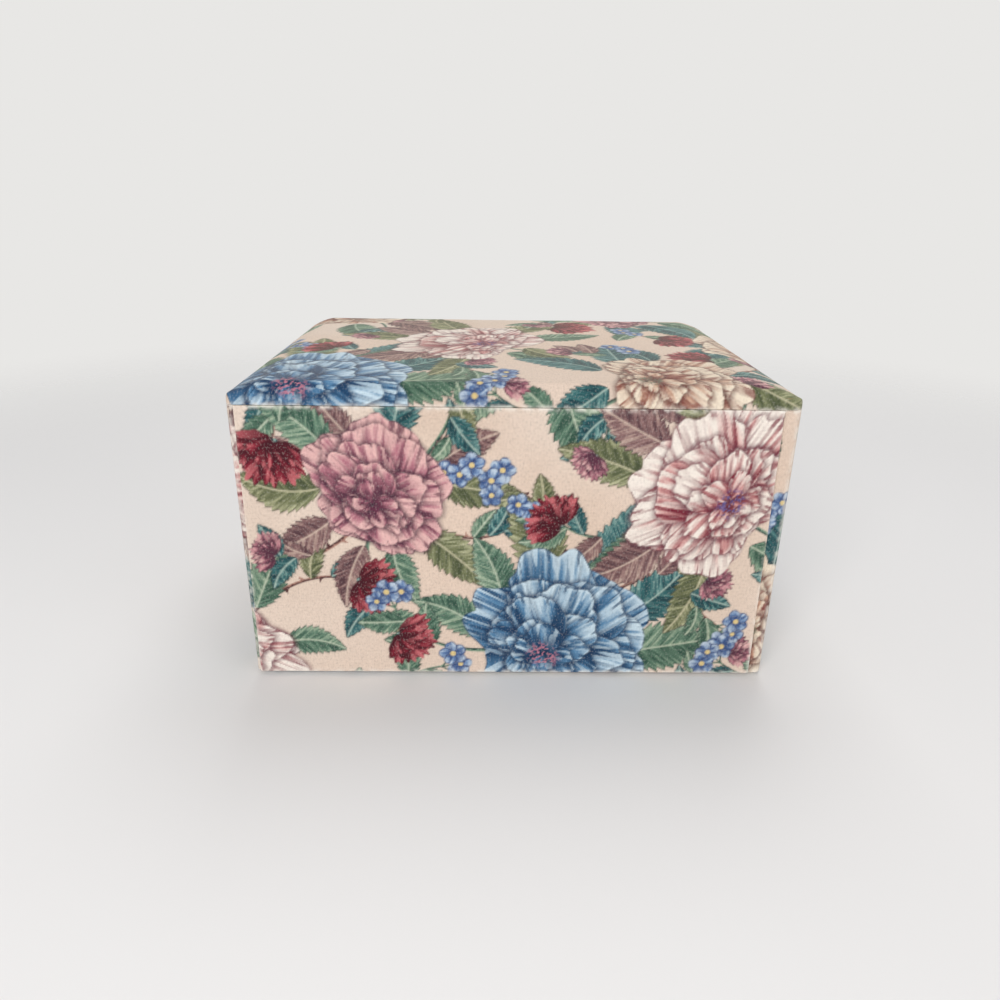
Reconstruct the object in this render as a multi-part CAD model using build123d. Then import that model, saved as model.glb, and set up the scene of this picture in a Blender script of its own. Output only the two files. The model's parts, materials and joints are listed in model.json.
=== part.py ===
from build123d import *
import os

# Fabric-covered jewelry box with a padded hinged lid, a lined well and a lift-out tray.
#
# Sizes are in millimetres. X is the width, Y the depth towards the hinges and Z is up.
# The origin is at the middle of the footprint, on the surface that the box stands on,
# and the box stands closed. "Case" is everything that stays on the table.

# Outside of the closed box, over the cloth
WIDTH = 250.0
DEPTH = 168.0
HEIGHT = 149.5
JOINT_HEIGHT = 136.0
JOINT_GAP = 0.6
CASE_CORNER = 5.0
LID_CORNER = 8.0
LID_SETBACK = 0.6

# Thickness of the sheets and boards
CLOTH = 0.8
CARD = 1.2
FELT = 1.2
WALL = 6.0
BASE = 5.0
LID_BOARD = 4.0
LINING = 1.8
PAD = 3.0

# Printed cloth where it turns round the boards
FOOT_TURN_IN = 12.0
LID_TURN_IN = 14.0
SOFT_EDGE = 0.5
SEAM_GAP = 0.5

# Cutting blocks run this far past the face that they cut
CUT_PAST = 1.0

# Front panel: what is left bare beside it, and how far it stops above the foot
STRIP_LEFT_TOP = 4.1
STRIP_LEFT_FOOT = 2.7
STRIP_RIGHT_TOP = 8.8
STRIP_RIGHT_FOOT = 7.1
PANEL_FOOT = 1.0

# Padded lid: its sides slope down in wide rounds that start this far in from each side,
# and its top is a shallow arch from front to back, rounded at both ends
LID_SIDE_REACH = 20.0
LID_SIDE_ROUND = 24.3
LID_ARCH_RADIUS = 3200.0
LID_FRONT_ROUND = 8.0
LID_BACK_ROUND = 6.0
LID_EDGE_ROUND = 2.5

# Felt under the box
FELT_INSET = 4.0

# Lined well
LINING_BELOW_RIM = 2.7
LINING_EDGE = 0.7
PAD_EDGE = 1.2
DIVIDER = 3.0
DIVIDER_HEIGHT = 46.0
DIVIDER_EDGE = 1.4
LONG_DIVIDER_Y = 6.0
SHORT_DIVIDER_X = 39.0
GROOVE = 1.0
LEDGE_HEIGHT = 8.0
FRONT_LEDGE = 6.0
BACK_LEDGE = 10.0
LEDGE_BEVEL = 3.0

# Lift-out tray
TRAY_HALF_WIDTH = 107.0
TRAY_BACK_Y = 72.0
TRAY_FRONT_GAP = 1.0
TRAY_FOOT_Z = 98.0
TRAY_HEIGHT = 30.0
TRAY_WALL = 3.0
TRAY_FLOOR = 2.0
TRAY_PAD = 2.5
TRAY_DIVIDER = 2.5
TRAY_DIVIDER_DROP = 4.0
TRAY_DIVIDER_EDGE = 1.1
TRAY_DIVIDER_LEFT_X = -22.0
TRAY_DIVIDER_RIGHT_X = 41.0
TRAY_CROSS_Y = 14.0
ROLL_COUNT = 8
ROLL_GAP = 0.3
ROLL_HEIGHT = 19.0
TAB_WIDTH = 12.0
TAB_SHEET = 0.5
TAB_LEG = 9.0
TAB_RISE = 4.5

# Lining and mirror in the lid
LID_LINING_HALF_WIDTH = 110.0
LID_LINING_FRONT_Y = -73.5
LID_LINING_BACK_Y = 75.0
LID_LINING_DROP = 2.0
LID_LINING_EDGE = 1.2
MIRROR_SIZE = (150.0, 92.0)
MIRROR = 1.8
MIRROR_LIP = 3.0
MIRROR_FRAME = 7.0
MIRROR_FRAME_DROP = 0.8
MIRROR_RECESS = 0.4

# Two butt hinges with five knuckles each
HINGE_X = 78.0
HINGE_LENGTH = 26.0
HINGE_SHEET = 0.8
HINGE_AXIS_OUT = 2.3
KNUCKLE_RADIUS = 2.0
KNUCKLE_COUNT = 5
KNUCKLE_GAP = 0.16
PIN_RADIUS = 0.8
PIN_CLEARANCE = 0.05
PIN_OVERHANG = 0.4
LEAF_DEPTH = 6.0
LEAF_CORNER = 1.5
LEAF_FIT = 0.1
SCREW_SPACING = 16.0
SCREW_INSET = 2.6
SCREW_HEAD_RADIUS = 1.5
SCREW_SHANK_RADIUS = 0.7
SCREW_LENGTH = 4.2

# Ribbon stays, folded between the tray and the side linings
STAY_SHEET = 0.5
STAY_WIDTH = 6.4
STAY_FOOT_Z = 128.4
STAY_FRONT_Y = -16.0
STAY_FOLD_Y = 26.0
STAY_REACH = 5.2

# Worked out from the sizes above
FRONT = -DEPTH / 2
BACK = DEPTH / 2
RIM_Z = JOINT_HEIGHT - JOINT_GAP / 2
LID_FOOT_Z = JOINT_HEIGHT + JOINT_GAP / 2
CARCASS_HALF = WIDTH / 2 - CLOTH
CARCASS_FRONT = FRONT + CLOTH + CARD + CLOTH
CARCASS_BACK = BACK - CLOTH
CARCASS_FOOT_Z = FELT + CLOTH
CARCASS_TOP_Z = RIM_Z - CLOTH
ROOM_HALF = CARCASS_HALF - WALL
ROOM_FRONT = CARCASS_FRONT + WALL
ROOM_BACK = CARCASS_BACK - WALL
FLOOR_Z = CARCASS_FOOT_Z + BASE
PAD_Z = FLOOR_Z + PAD
LINING_TOP_Z = RIM_Z - LINING_BELOW_RIM
WELL_HALF = ROOM_HALF - LINING
WELL_FRONT = ROOM_FRONT + LINING
WELL_BACK = ROOM_BACK - LINING
TRAY_FRONT_Y = WELL_FRONT + TRAY_FRONT_GAP
TRAY_TOP_Z = TRAY_FOOT_Z + TRAY_HEIGHT
TRAY_FLOOR_Z = TRAY_FOOT_Z + TRAY_FLOOR
TRAY_ROOM_HALF = TRAY_HALF_WIDTH - TRAY_WALL
TRAY_ROOM_FRONT = TRAY_FRONT_Y + TRAY_WALL
TRAY_ROOM_BACK = TRAY_BACK_Y - TRAY_WALL
HINGE_AXIS_Y = BACK + HINGE_AXIS_OUT
LEAF_INNER_Y = BACK - LEAF_DEPTH
LID_BOARD_Z = LID_FOOT_Z + CLOTH
LID_FOAM_Z = LID_BOARD_Z + LID_BOARD
LID_LINING_Z = LID_FOOT_Z - LID_LINING_DROP


def slab(x, y, z):
    """A block between two values on each axis."""
    middle = ((x[0] + x[1]) / 2, (y[0] + y[1]) / 2, (z[0] + z[1]) / 2)
    return Pos(*middle) * Box(x[1] - x[0], y[1] - y[0], z[1] - z[0])


def rounded_slab(half_width, y, z, corner):
    """A block centred on X whose four upright edges are rounded."""
    outline = RectangleRounded(2 * half_width, y[1] - y[0], corner)
    return Pos(0, (y[0] + y[1]) / 2, z[0]) * extrude(outline, z[1] - z[0])


def edges_at(solid, axis, place):
    """The highest (place -1) or lowest (place 0) edges along an axis."""
    return solid.edges().group_by(axis)[place]


def write(name, *solids):
    """Write one node, which is one solid or a group of separate ones."""
    shape = solids[0] if len(solids) == 1 else Compound(children=list(solids))
    shape.label = name
    export_step(shape, f"parts/{name}.step")


def both_sides(solid):
    """A solid and its mirror image across the middle of the box."""
    return solid, mirror(solid, about=Plane.YZ)


# Case: boards

def carcass_walls(screws):
    """Side walls that run the full depth, with the front and back wall between them."""
    z = (CARCASS_FOOT_Z, CARCASS_TOP_Z)
    block = rounded_slab(CARCASS_HALF, (CARCASS_FRONT, CARCASS_BACK), z, CASE_CORNER - CLOTH)
    depth = (CARCASS_FRONT, CARCASS_BACK)
    left = block & slab((-CARCASS_HALF, -ROOM_HALF), depth, z)
    right = block & slab((ROOM_HALF, CARCASS_HALF), depth, z)
    front = slab((-ROOM_HALF, ROOM_HALF), (CARCASS_FRONT, ROOM_FRONT), z)
    back = slab((-ROOM_HALF, ROOM_HALF), (ROOM_BACK, CARCASS_BACK), z) - screws
    write("left_wall", left)
    write("right_wall", right)
    write("front_wall", front)
    write("back_wall", back)


def base_board():
    """Bottom board, let in between the four walls."""
    write("base_board", slab((-ROOM_HALF, ROOM_HALF), (ROOM_FRONT, ROOM_BACK), (CARCASS_FOOT_Z, FLOOR_Z)))


def base_felt():
    """Felt under the box, with a packing piece that fills the frame of turned-in cloth."""
    sheet = rounded_slab(
        CARCASS_HALF - FELT_INSET,
        (CARCASS_FRONT + FELT_INSET, CARCASS_BACK - FELT_INSET),
        (0, FELT),
        CASE_CORNER,
    )
    packing = slab(
        (-CARCASS_HALF + FOOT_TURN_IN, CARCASS_HALF - FOOT_TURN_IN),
        (CARCASS_FRONT + FOOT_TURN_IN, CARCASS_BACK - FOOT_TURN_IN),
        (FELT, CARCASS_FOOT_Z),
    )
    write("base_felt", sheet + packing)


# Case: printed cloth and the front panel

def side_cloth(leaf_cutter):
    """One strip of cloth wrapped round the walls, turned over the rim and under the foot."""
    outside = rounded_slab(
        WIDTH / 2, (CARCASS_FRONT - CLOTH, BACK), (FELT, RIM_Z), CASE_CORNER
    )
    outside = chamfer(edges_at(outside, Axis.Z, 0) + edges_at(outside, Axis.Z, -1), SOFT_EDGE)
    boards = rounded_slab(
        CARCASS_HALF,
        (CARCASS_FRONT, CARCASS_BACK),
        (CARCASS_FOOT_Z, CARCASS_TOP_Z),
        CASE_CORNER - CLOTH,
    )
    mouth = slab((-ROOM_HALF, ROOM_HALF), (ROOM_FRONT, ROOM_BACK), (FLOOR_Z, HEIGHT))
    under = slab(
        (-CARCASS_HALF + FOOT_TURN_IN, CARCASS_HALF - FOOT_TURN_IN),
        (CARCASS_FRONT + FOOT_TURN_IN, CARCASS_BACK - FOOT_TURN_IN),
        (0, FLOOR_Z),
    )
    seam = slab((-SEAM_GAP / 2, SEAM_GAP / 2), (FRONT, ROOM_FRONT), (0, CARCASS_TOP_Z))
    write("side_cloth", outside - boards - mouth - under - seam - leaf_cutter)


def panel_block(inset, thickness):
    """The front panel's four-sided outline, drawn in by an inset and given a thickness."""
    foot = CARCASS_FOOT_Z - CLOTH + PANEL_FOOT
    half = WIDTH / 2
    corners = [
        (-half + STRIP_LEFT_FOOT, foot),
        (half - STRIP_RIGHT_FOOT, foot),
        (half - STRIP_RIGHT_TOP, RIM_Z),
        (-half + STRIP_LEFT_TOP, RIM_Z),
    ]
    outline = make_face(Polyline(*corners, close=True))
    if inset:
        outline = offset(outline, -inset, kind=Kind.INTERSECTION)
    return Pos(0, CARCASS_FRONT - CLOTH, 0) * extrude(Plane.XZ * outline, thickness)


def front_panel():
    """A card under its own piece of cloth, which covers the seam of the side cloth."""
    card = panel_block(CLOTH, CARD)
    cover = panel_block(0, CARD + CLOTH)
    cover = fillet(edges_at(cover, Axis.Y, 0), SOFT_EDGE)
    write("front_card", card)
    write("front_cloth", cover - card)


# Case: lined well

def well_linings():
    """Velvet-covered cards that stand on the base board against the four walls."""
    z = (FLOOR_Z, LINING_TOP_Z)
    depth = (ROOM_FRONT, ROOM_BACK)
    width = (-WELL_HALF, WELL_HALF)
    cards = {
        "left_lining": (slab((-ROOM_HALF, -WELL_HALF), depth, z), Axis.X, -1),
        "right_lining": (slab((WELL_HALF, ROOM_HALF), depth, z), Axis.X, 0),
        "front_lining": (slab(width, (ROOM_FRONT, WELL_FRONT), z), Axis.Y, -1),
        "back_lining": (slab(width, (WELL_BACK, ROOM_BACK), z), Axis.Y, 0),
    }
    for name, (card, axis, place) in cards.items():
        inner_top = edges_at(card, Axis.Z, -1).sort_by(axis)[place]
        write(name, fillet(inner_top, LINING_EDGE))


def floor_pad():
    """Soft pad on the bottom, with rounded top edges."""
    pad = slab((-WELL_HALF, WELL_HALF), (WELL_FRONT, WELL_BACK), (FLOOR_Z, PAD_Z))
    write("floor_pad", fillet(edges_at(pad, Axis.Z, -1), PAD_EDGE))


def well_dividers():
    """One long divider, grooved for the two short ones that stop against it."""
    z = (PAD_Z, PAD_Z + DIVIDER_HEIGHT)
    face = LONG_DIVIDER_Y - DIVIDER / 2
    long_one = slab((-WELL_HALF, WELL_HALF), (face, LONG_DIVIDER_Y + DIVIDER / 2), z)
    long_one = fillet(edges_at(long_one, Axis.Z, -1).filter_by(Axis.X), DIVIDER_EDGE)
    for side, name in ((-1, "short_divider_left"), (1, "short_divider_right")):
        middle = side * SHORT_DIVIDER_X
        short_one = slab((middle - DIVIDER / 2, middle + DIVIDER / 2), (WELL_FRONT, face), z)
        short_one = fillet(edges_at(short_one, Axis.Z, -1).filter_by(Axis.Y), DIVIDER_EDGE)
        tongue = slab((middle - DIVIDER / 4, middle + DIVIDER / 4), (face - GROOVE, face + GROOVE), z)
        tongue = tongue & slab((-WELL_HALF, WELL_HALF), (FRONT, BACK), (z[0], z[1] - DIVIDER_EDGE))
        long_one = long_one - tongue
        write(name, short_one + tongue)
    write("long_divider", long_one)


def tray_ledges():
    """Battens on the front and back linings that carry the tray, bevelled below."""
    z = (TRAY_FOOT_Z - LEDGE_HEIGHT, TRAY_FOOT_Z)
    width = (-WELL_HALF, WELL_HALF)
    front = slab(width, (WELL_FRONT, WELL_FRONT + FRONT_LEDGE), z)
    back = slab(width, (WELL_BACK - BACK_LEDGE, WELL_BACK), z)
    low_front = edges_at(front, Axis.Z, 0).sort_by(Axis.Y)[-1]
    low_back = edges_at(back, Axis.Z, 0).sort_by(Axis.Y)[0]
    write("front_tray_ledge", chamfer(low_front, LEDGE_BEVEL))
    write("back_tray_ledge", chamfer(low_back, LEDGE_BEVEL))


def ribbon_stay():
    """Ribbon that limits the lid, folded once beside the tray while the lid is shut."""
    outer = WELL_HALF
    path = [
        (outer, STAY_FRONT_Y),
        (outer - STAY_SHEET, STAY_FRONT_Y),
        (outer - STAY_REACH / 2, STAY_FOLD_Y - STAY_SHEET),
        (outer - STAY_REACH + STAY_SHEET, STAY_FRONT_Y),
        (outer - STAY_REACH, STAY_FRONT_Y),
        (outer - STAY_REACH / 2, STAY_FOLD_Y + STAY_SHEET),
    ]
    strip = extrude(make_face(Polyline(*path, close=True)), STAY_WIDTH)
    right, left = both_sides(Pos(0, 0, STAY_FOOT_Z) * strip)
    write("right_stay_ribbon", right)
    write("left_stay_ribbon", left)


# Hinges

def knuckle(index, bore):
    """One knuckle of a hinge that is centred on X, with the pin hole through it."""
    pitch = HINGE_LENGTH / KNUCKLE_COUNT
    middle = (index + 0.5) * pitch - HINGE_LENGTH / 2
    turn = Pos(middle, HINGE_AXIS_Y, JOINT_HEIGHT) * Rot(0, 90, 0)
    barrel = turn * Cylinder(KNUCKLE_RADIUS, pitch - KNUCKLE_GAP)
    half = (pitch - KNUCKLE_GAP) / 2
    web = slab(
        (middle - half, middle + half),
        (BACK - HINGE_SHEET, HINGE_AXIS_Y),
        (RIM_Z - HINGE_SHEET, RIM_Z),
    )
    return barrel + web, turn * Cylinder(bore, pitch)


def screw():
    """Countersunk screw with the top of its head at the origin."""
    cone = SCREW_HEAD_RADIUS - SCREW_SHANK_RADIUS
    head = Pos(0, 0, -cone / 2) * Cone(SCREW_SHANK_RADIUS, SCREW_HEAD_RADIUS, cone)
    shank = Pos(0, 0, -SCREW_LENGTH / 2) * Cylinder(SCREW_SHANK_RADIUS, SCREW_LENGTH)
    return head + shank


def case_leaf(bore, indices):
    """A flat leaf on the rim with its knuckles bored for the pin, and its screws apart."""
    leaf = rounded_slab(
        HINGE_LENGTH / 2,
        (LEAF_INNER_Y, BACK + LEAF_CORNER),
        (RIM_Z - HINGE_SHEET, RIM_Z),
        LEAF_CORNER,
    ) & slab((-HINGE_LENGTH, HINGE_LENGTH), (FRONT, BACK), (0, HEIGHT))
    bores = []
    for index in indices:
        body, hole = knuckle(index, bore)
        leaf = leaf + body
        bores.append(hole)
    for hole in bores:
        leaf = leaf - hole
    screws = []
    for side in (-1, 1):
        place = Pos(side * SCREW_SPACING / 2, LEAF_INNER_Y + SCREW_INSET, RIM_Z)
        screws.append(place * screw())
        leaf = leaf - screws[-1]
    return leaf, screws


def hinges():
    """Both hinges: leaves, pins and screws. Returns the cutters for wall, board and cloth."""
    case_one, case_screws = case_leaf(PIN_RADIUS, range(0, KNUCKLE_COUNT, 2))
    lid_one, lid_screws = case_leaf(PIN_RADIUS + PIN_CLEARANCE, range(1, KNUCKLE_COUNT, 2))
    turned = Plane((0, 0, JOINT_HEIGHT), x_dir=(1, 0, 0), z_dir=(0, 0, 1))
    lid_one = mirror(lid_one, about=turned)
    lid_screws = [mirror(one, about=turned) for one in lid_screws]
    pin = Rot(0, 90, 0) * Cylinder(PIN_RADIUS, HINGE_LENGTH + 2 * PIN_OVERHANG)
    pin = Pos(0, HINGE_AXIS_Y, JOINT_HEIGHT) * pin
    window = slab(
        (-HINGE_LENGTH / 2 - LEAF_FIT, HINGE_LENGTH / 2 + LEAF_FIT),
        (LEAF_INNER_Y - LEAF_FIT, BACK + CLOTH),
        (CARCASS_TOP_Z, LID_BOARD_Z),
    )
    places = {"left": Pos(-HINGE_X, 0, 0), "right": Pos(HINGE_X, 0, 0)}
    for side, place in places.items():
        write(f"{side}_case_hinge_leaf", place * case_one)
        write(f"{side}_lid_hinge_leaf", place * lid_one)
    spots = list(places.values())
    wall_screws = [spot * one for spot in spots for one in case_screws]
    board_screws = [spot * one for spot in spots for one in lid_screws]
    write("hinge_pins", *[spot * pin for spot in spots])
    write("case_hinge_screws", *wall_screws)
    write("lid_hinge_screws", *board_screws)
    return wall_screws, board_screws, [spot * window for spot in spots]


# Lid

def lid_across(inset, foot):
    """Section of the lid from side to side: a level middle between two wide rounds."""
    half = WIDTH / 2 - inset
    shoulder = WIDTH / 2 - LID_SIDE_REACH
    top = HEIGHT - inset
    middle = (foot + top) / 2
    section = Pos(0, middle) * Rectangle(2 * shoulder, top - foot)
    for side in (-1, 1):
        section += Pos(side * shoulder, HEIGHT - LID_SIDE_ROUND) * Circle(LID_SIDE_ROUND - inset)
    section &= Pos(0, middle) * Rectangle(2 * half, top - foot)
    edges = [v for v in section.vertices() if abs(v.X) > shoulder + 1 and v.Y > foot + inset]
    return fillet(edges, LID_EDGE_ROUND)


def lid_along(inset, foot):
    """Section of the lid from front to back: a shallow arch with a round at each end."""
    front = FRONT + LID_SETBACK + inset
    back = BACK - inset
    middle = (front + back) / 2
    section = Pos(middle, (foot + HEIGHT) / 2) * Rectangle(back - front, HEIGHT - foot)
    section &= Pos(middle, HEIGHT - LID_ARCH_RADIUS) * Circle(LID_ARCH_RADIUS - inset)
    front_end = section.vertices().group_by(Axis.X)[0].sort_by(Axis.Y)[-1]
    section = fillet(front_end, LID_FRONT_ROUND - inset)
    back_end = section.vertices().group_by(Axis.X)[-1].sort_by(Axis.Y)[-1]
    return fillet(back_end, LID_BACK_ROUND - inset)


def lid_form(inset, foot):
    """The padded outside of the lid, drawn in all round by an inset, above a height."""
    depth = (FRONT + LID_SETBACK + inset, BACK - inset)
    block = rounded_slab(WIDTH / 2 - inset, depth, (foot, HEIGHT), LID_CORNER - inset)
    across = extrude(Plane.XZ * lid_across(inset, foot), DEPTH, both=True)
    along = extrude(Plane.YZ * lid_along(inset, foot), WIDTH, both=True)
    return block & across & along


def lid_shell(screws, leaf_cutter):
    """Lid board, the foam on it, and the cloth pulled over both and turned in below."""
    inside = lid_form(CLOTH, LID_BOARD_Z)
    split = slab((-WIDTH, WIDTH), (-DEPTH, DEPTH), (LID_BOARD_Z, LID_FOAM_Z))
    window = slab(
        (-CARCASS_HALF + LID_TURN_IN, CARCASS_HALF - LID_TURN_IN),
        (FRONT + LID_SETBACK + CLOTH + LID_TURN_IN, CARCASS_BACK - LID_TURN_IN),
        (LID_FOOT_Z, LID_BOARD_Z),
    )
    write("lid_board", (inside & split) - screws)
    write("lid_foam", inside - split)
    write("lid_cloth", lid_form(0, LID_FOOT_Z) - inside - window - leaf_cutter)
    return window


def lid_lining(window):
    """Lining panel over the turned-in cloth, with a mirror in it behind a narrow frame."""
    width, height = (size / 2 for size in MIRROR_SIZE)
    middle = (LID_LINING_FRONT_Y + LID_LINING_BACK_Y) / 2

    def around(margin, z):
        """A block on the mirror's outline, made larger all round by a margin."""
        across = width + margin
        along = height + margin
        return slab((-across, across), (middle - along, middle + along), z)

    panel = slab(
        (-LID_LINING_HALF_WIDTH, LID_LINING_HALF_WIDTH),
        (LID_LINING_FRONT_Y, LID_LINING_BACK_Y),
        (LID_LINING_Z, LID_FOOT_Z),
    )
    panel = fillet(edges_at(panel, Axis.Z, 0), LID_LINING_EDGE)
    glass_z = LID_LINING_Z + MIRROR_RECESS
    glass = around(0, (glass_z, glass_z + MIRROR))
    pocket = around(0, (LID_LINING_Z - CUT_PAST, glass_z + MIRROR))
    frame = around(MIRROR_FRAME, (LID_LINING_Z - MIRROR_FRAME_DROP, LID_LINING_Z))
    frame = fillet(edges_at(frame, Axis.Z, 0), MIRROR_FRAME_DROP / 2)
    lip = around(0, (LID_LINING_Z, glass_z))
    opening = around(-MIRROR_LIP, (LID_LINING_Z - MIRROR_FRAME_DROP - CUT_PAST, glass_z + CUT_PAST))
    write("lid_lining", panel + window - pocket)
    write("mirror", glass)
    write("mirror_frame", frame + lip - opening)


# Tray

def tray_box():
    """Tray floor between four walls whose top edges are rounded."""
    z = (TRAY_FOOT_Z, TRAY_TOP_Z)
    depth = (TRAY_FRONT_Y, TRAY_BACK_Y)
    room = (-TRAY_ROOM_HALF, TRAY_ROOM_HALF)
    walls = {
        "tray_left_wall": (slab((-TRAY_HALF_WIDTH, -TRAY_ROOM_HALF), depth, z), Axis.Y),
        "tray_right_wall": (slab((TRAY_ROOM_HALF, TRAY_HALF_WIDTH), depth, z), Axis.Y),
        "tray_front_wall": (slab(room, (TRAY_FRONT_Y, TRAY_ROOM_FRONT), z), Axis.X),
        "tray_back_wall": (slab(room, (TRAY_ROOM_BACK, TRAY_BACK_Y), z), Axis.X),
    }
    for name, (wall, run) in walls.items():
        top = edges_at(wall, Axis.Z, -1).filter_by(run)
        write(name, fillet(top, DIVIDER_EDGE))
    write("tray_floor", slab(room, (TRAY_ROOM_FRONT, TRAY_ROOM_BACK), (TRAY_FOOT_Z, TRAY_FLOOR_Z)))


def tray_dividers():
    """Two dividers from front to back, and a short one across the right-hand part."""
    z = (TRAY_FLOOR_Z, TRAY_TOP_Z - TRAY_DIVIDER_DROP)
    half = TRAY_DIVIDER / 2
    for name, x in (("left", TRAY_DIVIDER_LEFT_X), ("right", TRAY_DIVIDER_RIGHT_X)):
        one = slab((x - half, x + half), (TRAY_ROOM_FRONT, TRAY_ROOM_BACK), z)
        one = fillet(edges_at(one, Axis.Z, -1).filter_by(Axis.Y), TRAY_DIVIDER_EDGE)
        write(f"tray_divider_{name}", one)
    start = TRAY_DIVIDER_RIGHT_X + half
    cross = slab((start, TRAY_ROOM_HALF), (TRAY_CROSS_Y - half, TRAY_CROSS_Y + half), z)
    write("tray_cross_divider", fillet(edges_at(cross, Axis.Z, -1).filter_by(Axis.X), TRAY_DIVIDER_EDGE))


def tray_pads():
    """Soft pads on the floor of the three open compartments."""
    half = TRAY_DIVIDER / 2
    middle = (TRAY_DIVIDER_LEFT_X + half, TRAY_DIVIDER_RIGHT_X - half)
    right = (TRAY_DIVIDER_RIGHT_X + half, TRAY_ROOM_HALF)
    rooms = [
        (middle, (TRAY_ROOM_FRONT, TRAY_ROOM_BACK)),
        (right, (TRAY_ROOM_FRONT, TRAY_CROSS_Y - half)),
        (right, (TRAY_CROSS_Y + half, TRAY_ROOM_BACK)),
    ]
    pads = []
    for x, y in rooms:
        pad = slab(x, y, (TRAY_FLOOR_Z, TRAY_FLOOR_Z + TRAY_PAD))
        pads.append(fillet(edges_at(pad, Axis.Z, -1), PAD_EDGE))
    write("tray_floor_pads", *pads)


def ring_rolls():
    """Row of soft rolls that grip rings between them: upright sides under a round top."""
    pitch = (TRAY_ROOM_BACK - TRAY_ROOM_FRONT) / ROLL_COUNT
    radius = (pitch - ROLL_GAP) / 2
    length = TRAY_DIVIDER_LEFT_X - TRAY_DIVIDER / 2 + TRAY_ROOM_HALF
    shoulder = ROLL_HEIGHT - radius
    section = Pos(0, shoulder / 2) * Rectangle(2 * radius, shoulder) + Pos(0, shoulder) * Circle(radius)
    roll = extrude(Plane.YZ * section, length)
    rolls = []
    for index in range(ROLL_COUNT):
        y = TRAY_ROOM_FRONT + (index + 0.5) * pitch
        rolls.append(Pos(-TRAY_ROOM_HALF, y, TRAY_FLOOR_Z) * roll)
    write("ring_rolls", *rolls)


def pull_tabs():
    """Ribbon loops over the tray's side walls, to lift it by."""
    inner = TRAY_WALL / 2
    outer = inner + TAB_SHEET
    arch = TAB_RISE - outer

    def upright(radius):
        """Outline of an arch with straight legs, as high as the loop."""
        legs = Pos(0, (arch - TAB_LEG) / 2) * Rectangle(2 * radius, arch + TAB_LEG)
        return legs + Pos(0, arch) * Circle(radius)

    tab = extrude(Plane.XZ * (upright(outer) - upright(inner)), TAB_WIDTH / 2, both=True)
    middle_y = (TRAY_FRONT_Y + TRAY_BACK_Y) / 2
    right, left = both_sides(Pos(TRAY_HALF_WIDTH - inner, middle_y, TRAY_TOP_Z) * tab)
    write("right_pull_tab", right)
    write("left_pull_tab", left)


def main():
    os.makedirs("parts", exist_ok=True)
    wall_screws, board_screws, leaf_cutter = hinges()
    carcass_walls(wall_screws)
    base_board()
    base_felt()
    side_cloth(leaf_cutter)
    front_panel()
    well_linings()
    floor_pad()
    well_dividers()
    tray_ledges()
    ribbon_stay()
    window = lid_shell(board_screws, leaf_cutter)
    lid_lining(window)
    tray_box()
    tray_dividers()
    tray_pads()
    ring_rolls()
    pull_tabs()


main()
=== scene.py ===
"""Looks of a cloth-covered jewelry box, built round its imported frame.

Lengths in the code are millimetres, as the boards and cloth were measured, and MM turns
them into the frame's metres. X is the width, Y the depth towards the hinges, Z is up.
"""
from __future__ import annotations

import json
import logging
from dataclasses import dataclass, field
from enum import Enum
from typing import Callable, Sequence

import bpy
import numpy as np
from mathutils import Matrix, Vector


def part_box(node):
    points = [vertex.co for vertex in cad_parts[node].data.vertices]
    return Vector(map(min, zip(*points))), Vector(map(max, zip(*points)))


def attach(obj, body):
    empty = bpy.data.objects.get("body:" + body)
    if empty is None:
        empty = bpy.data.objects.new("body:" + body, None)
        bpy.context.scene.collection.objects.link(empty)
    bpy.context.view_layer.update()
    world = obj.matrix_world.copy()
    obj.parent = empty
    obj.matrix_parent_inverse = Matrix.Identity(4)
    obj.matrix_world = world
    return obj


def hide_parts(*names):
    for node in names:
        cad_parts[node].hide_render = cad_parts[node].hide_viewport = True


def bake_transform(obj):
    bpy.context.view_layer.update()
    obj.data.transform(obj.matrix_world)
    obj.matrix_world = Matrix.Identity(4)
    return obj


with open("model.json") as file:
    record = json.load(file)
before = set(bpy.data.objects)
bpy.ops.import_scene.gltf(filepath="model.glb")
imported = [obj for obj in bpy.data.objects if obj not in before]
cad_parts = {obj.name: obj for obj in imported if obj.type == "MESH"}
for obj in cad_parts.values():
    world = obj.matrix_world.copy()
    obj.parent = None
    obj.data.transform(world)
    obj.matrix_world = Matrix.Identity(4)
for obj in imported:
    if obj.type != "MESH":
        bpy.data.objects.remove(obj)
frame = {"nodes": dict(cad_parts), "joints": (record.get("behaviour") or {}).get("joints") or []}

Array = np.ndarray
Point = tuple[float, float]
Colour = tuple[float, float, float, float]
Function = Callable[[Array], Array]
Random = np.random.Generator
Piece = bpy.types.Object
Material = bpy.types.Material
Socket = bpy.types.NodeSocket
SCENE = bpy.context.scene
MM = 0.001
TURN = 2 * np.pi
log = logging.getLogger("jewelry_box")


def corners_of(node: str) -> tuple[Array, Array]:
    """Lowest and highest corner of a frame node, in millimetres."""
    low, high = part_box(node)
    return np.array(low) / MM, np.array(high) / MM


def eased(value: Array, low: float, high: float) -> Array:
    """Nought below low, one above high and 3t² - 2t³ between."""
    t = np.clip((value - low) / (high - low), 0, 1)
    return t * t * (3 - 2 * t)


def bell(value: Array, width: float) -> Array:
    """One at nought, falling off on both sides as exp(-(value / width)²)."""
    return np.exp(-((value / width) ** 2))


def toward(angle: float | Array) -> Array:
    """The way of an angle: its cosine and its sine."""
    return np.array((np.cos(angle), np.sin(angle)))


def brushed(ink: Array, colour: Array, share: Array) -> Array:
    """The inks of some points, mixed with another colour by each point's share of it."""
    return ink + (colour - ink) * share[:, None]


def new_seed(random: Random) -> int:
    """A whole number that starts another chance."""
    return int(random.integers(1, 9000))


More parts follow.
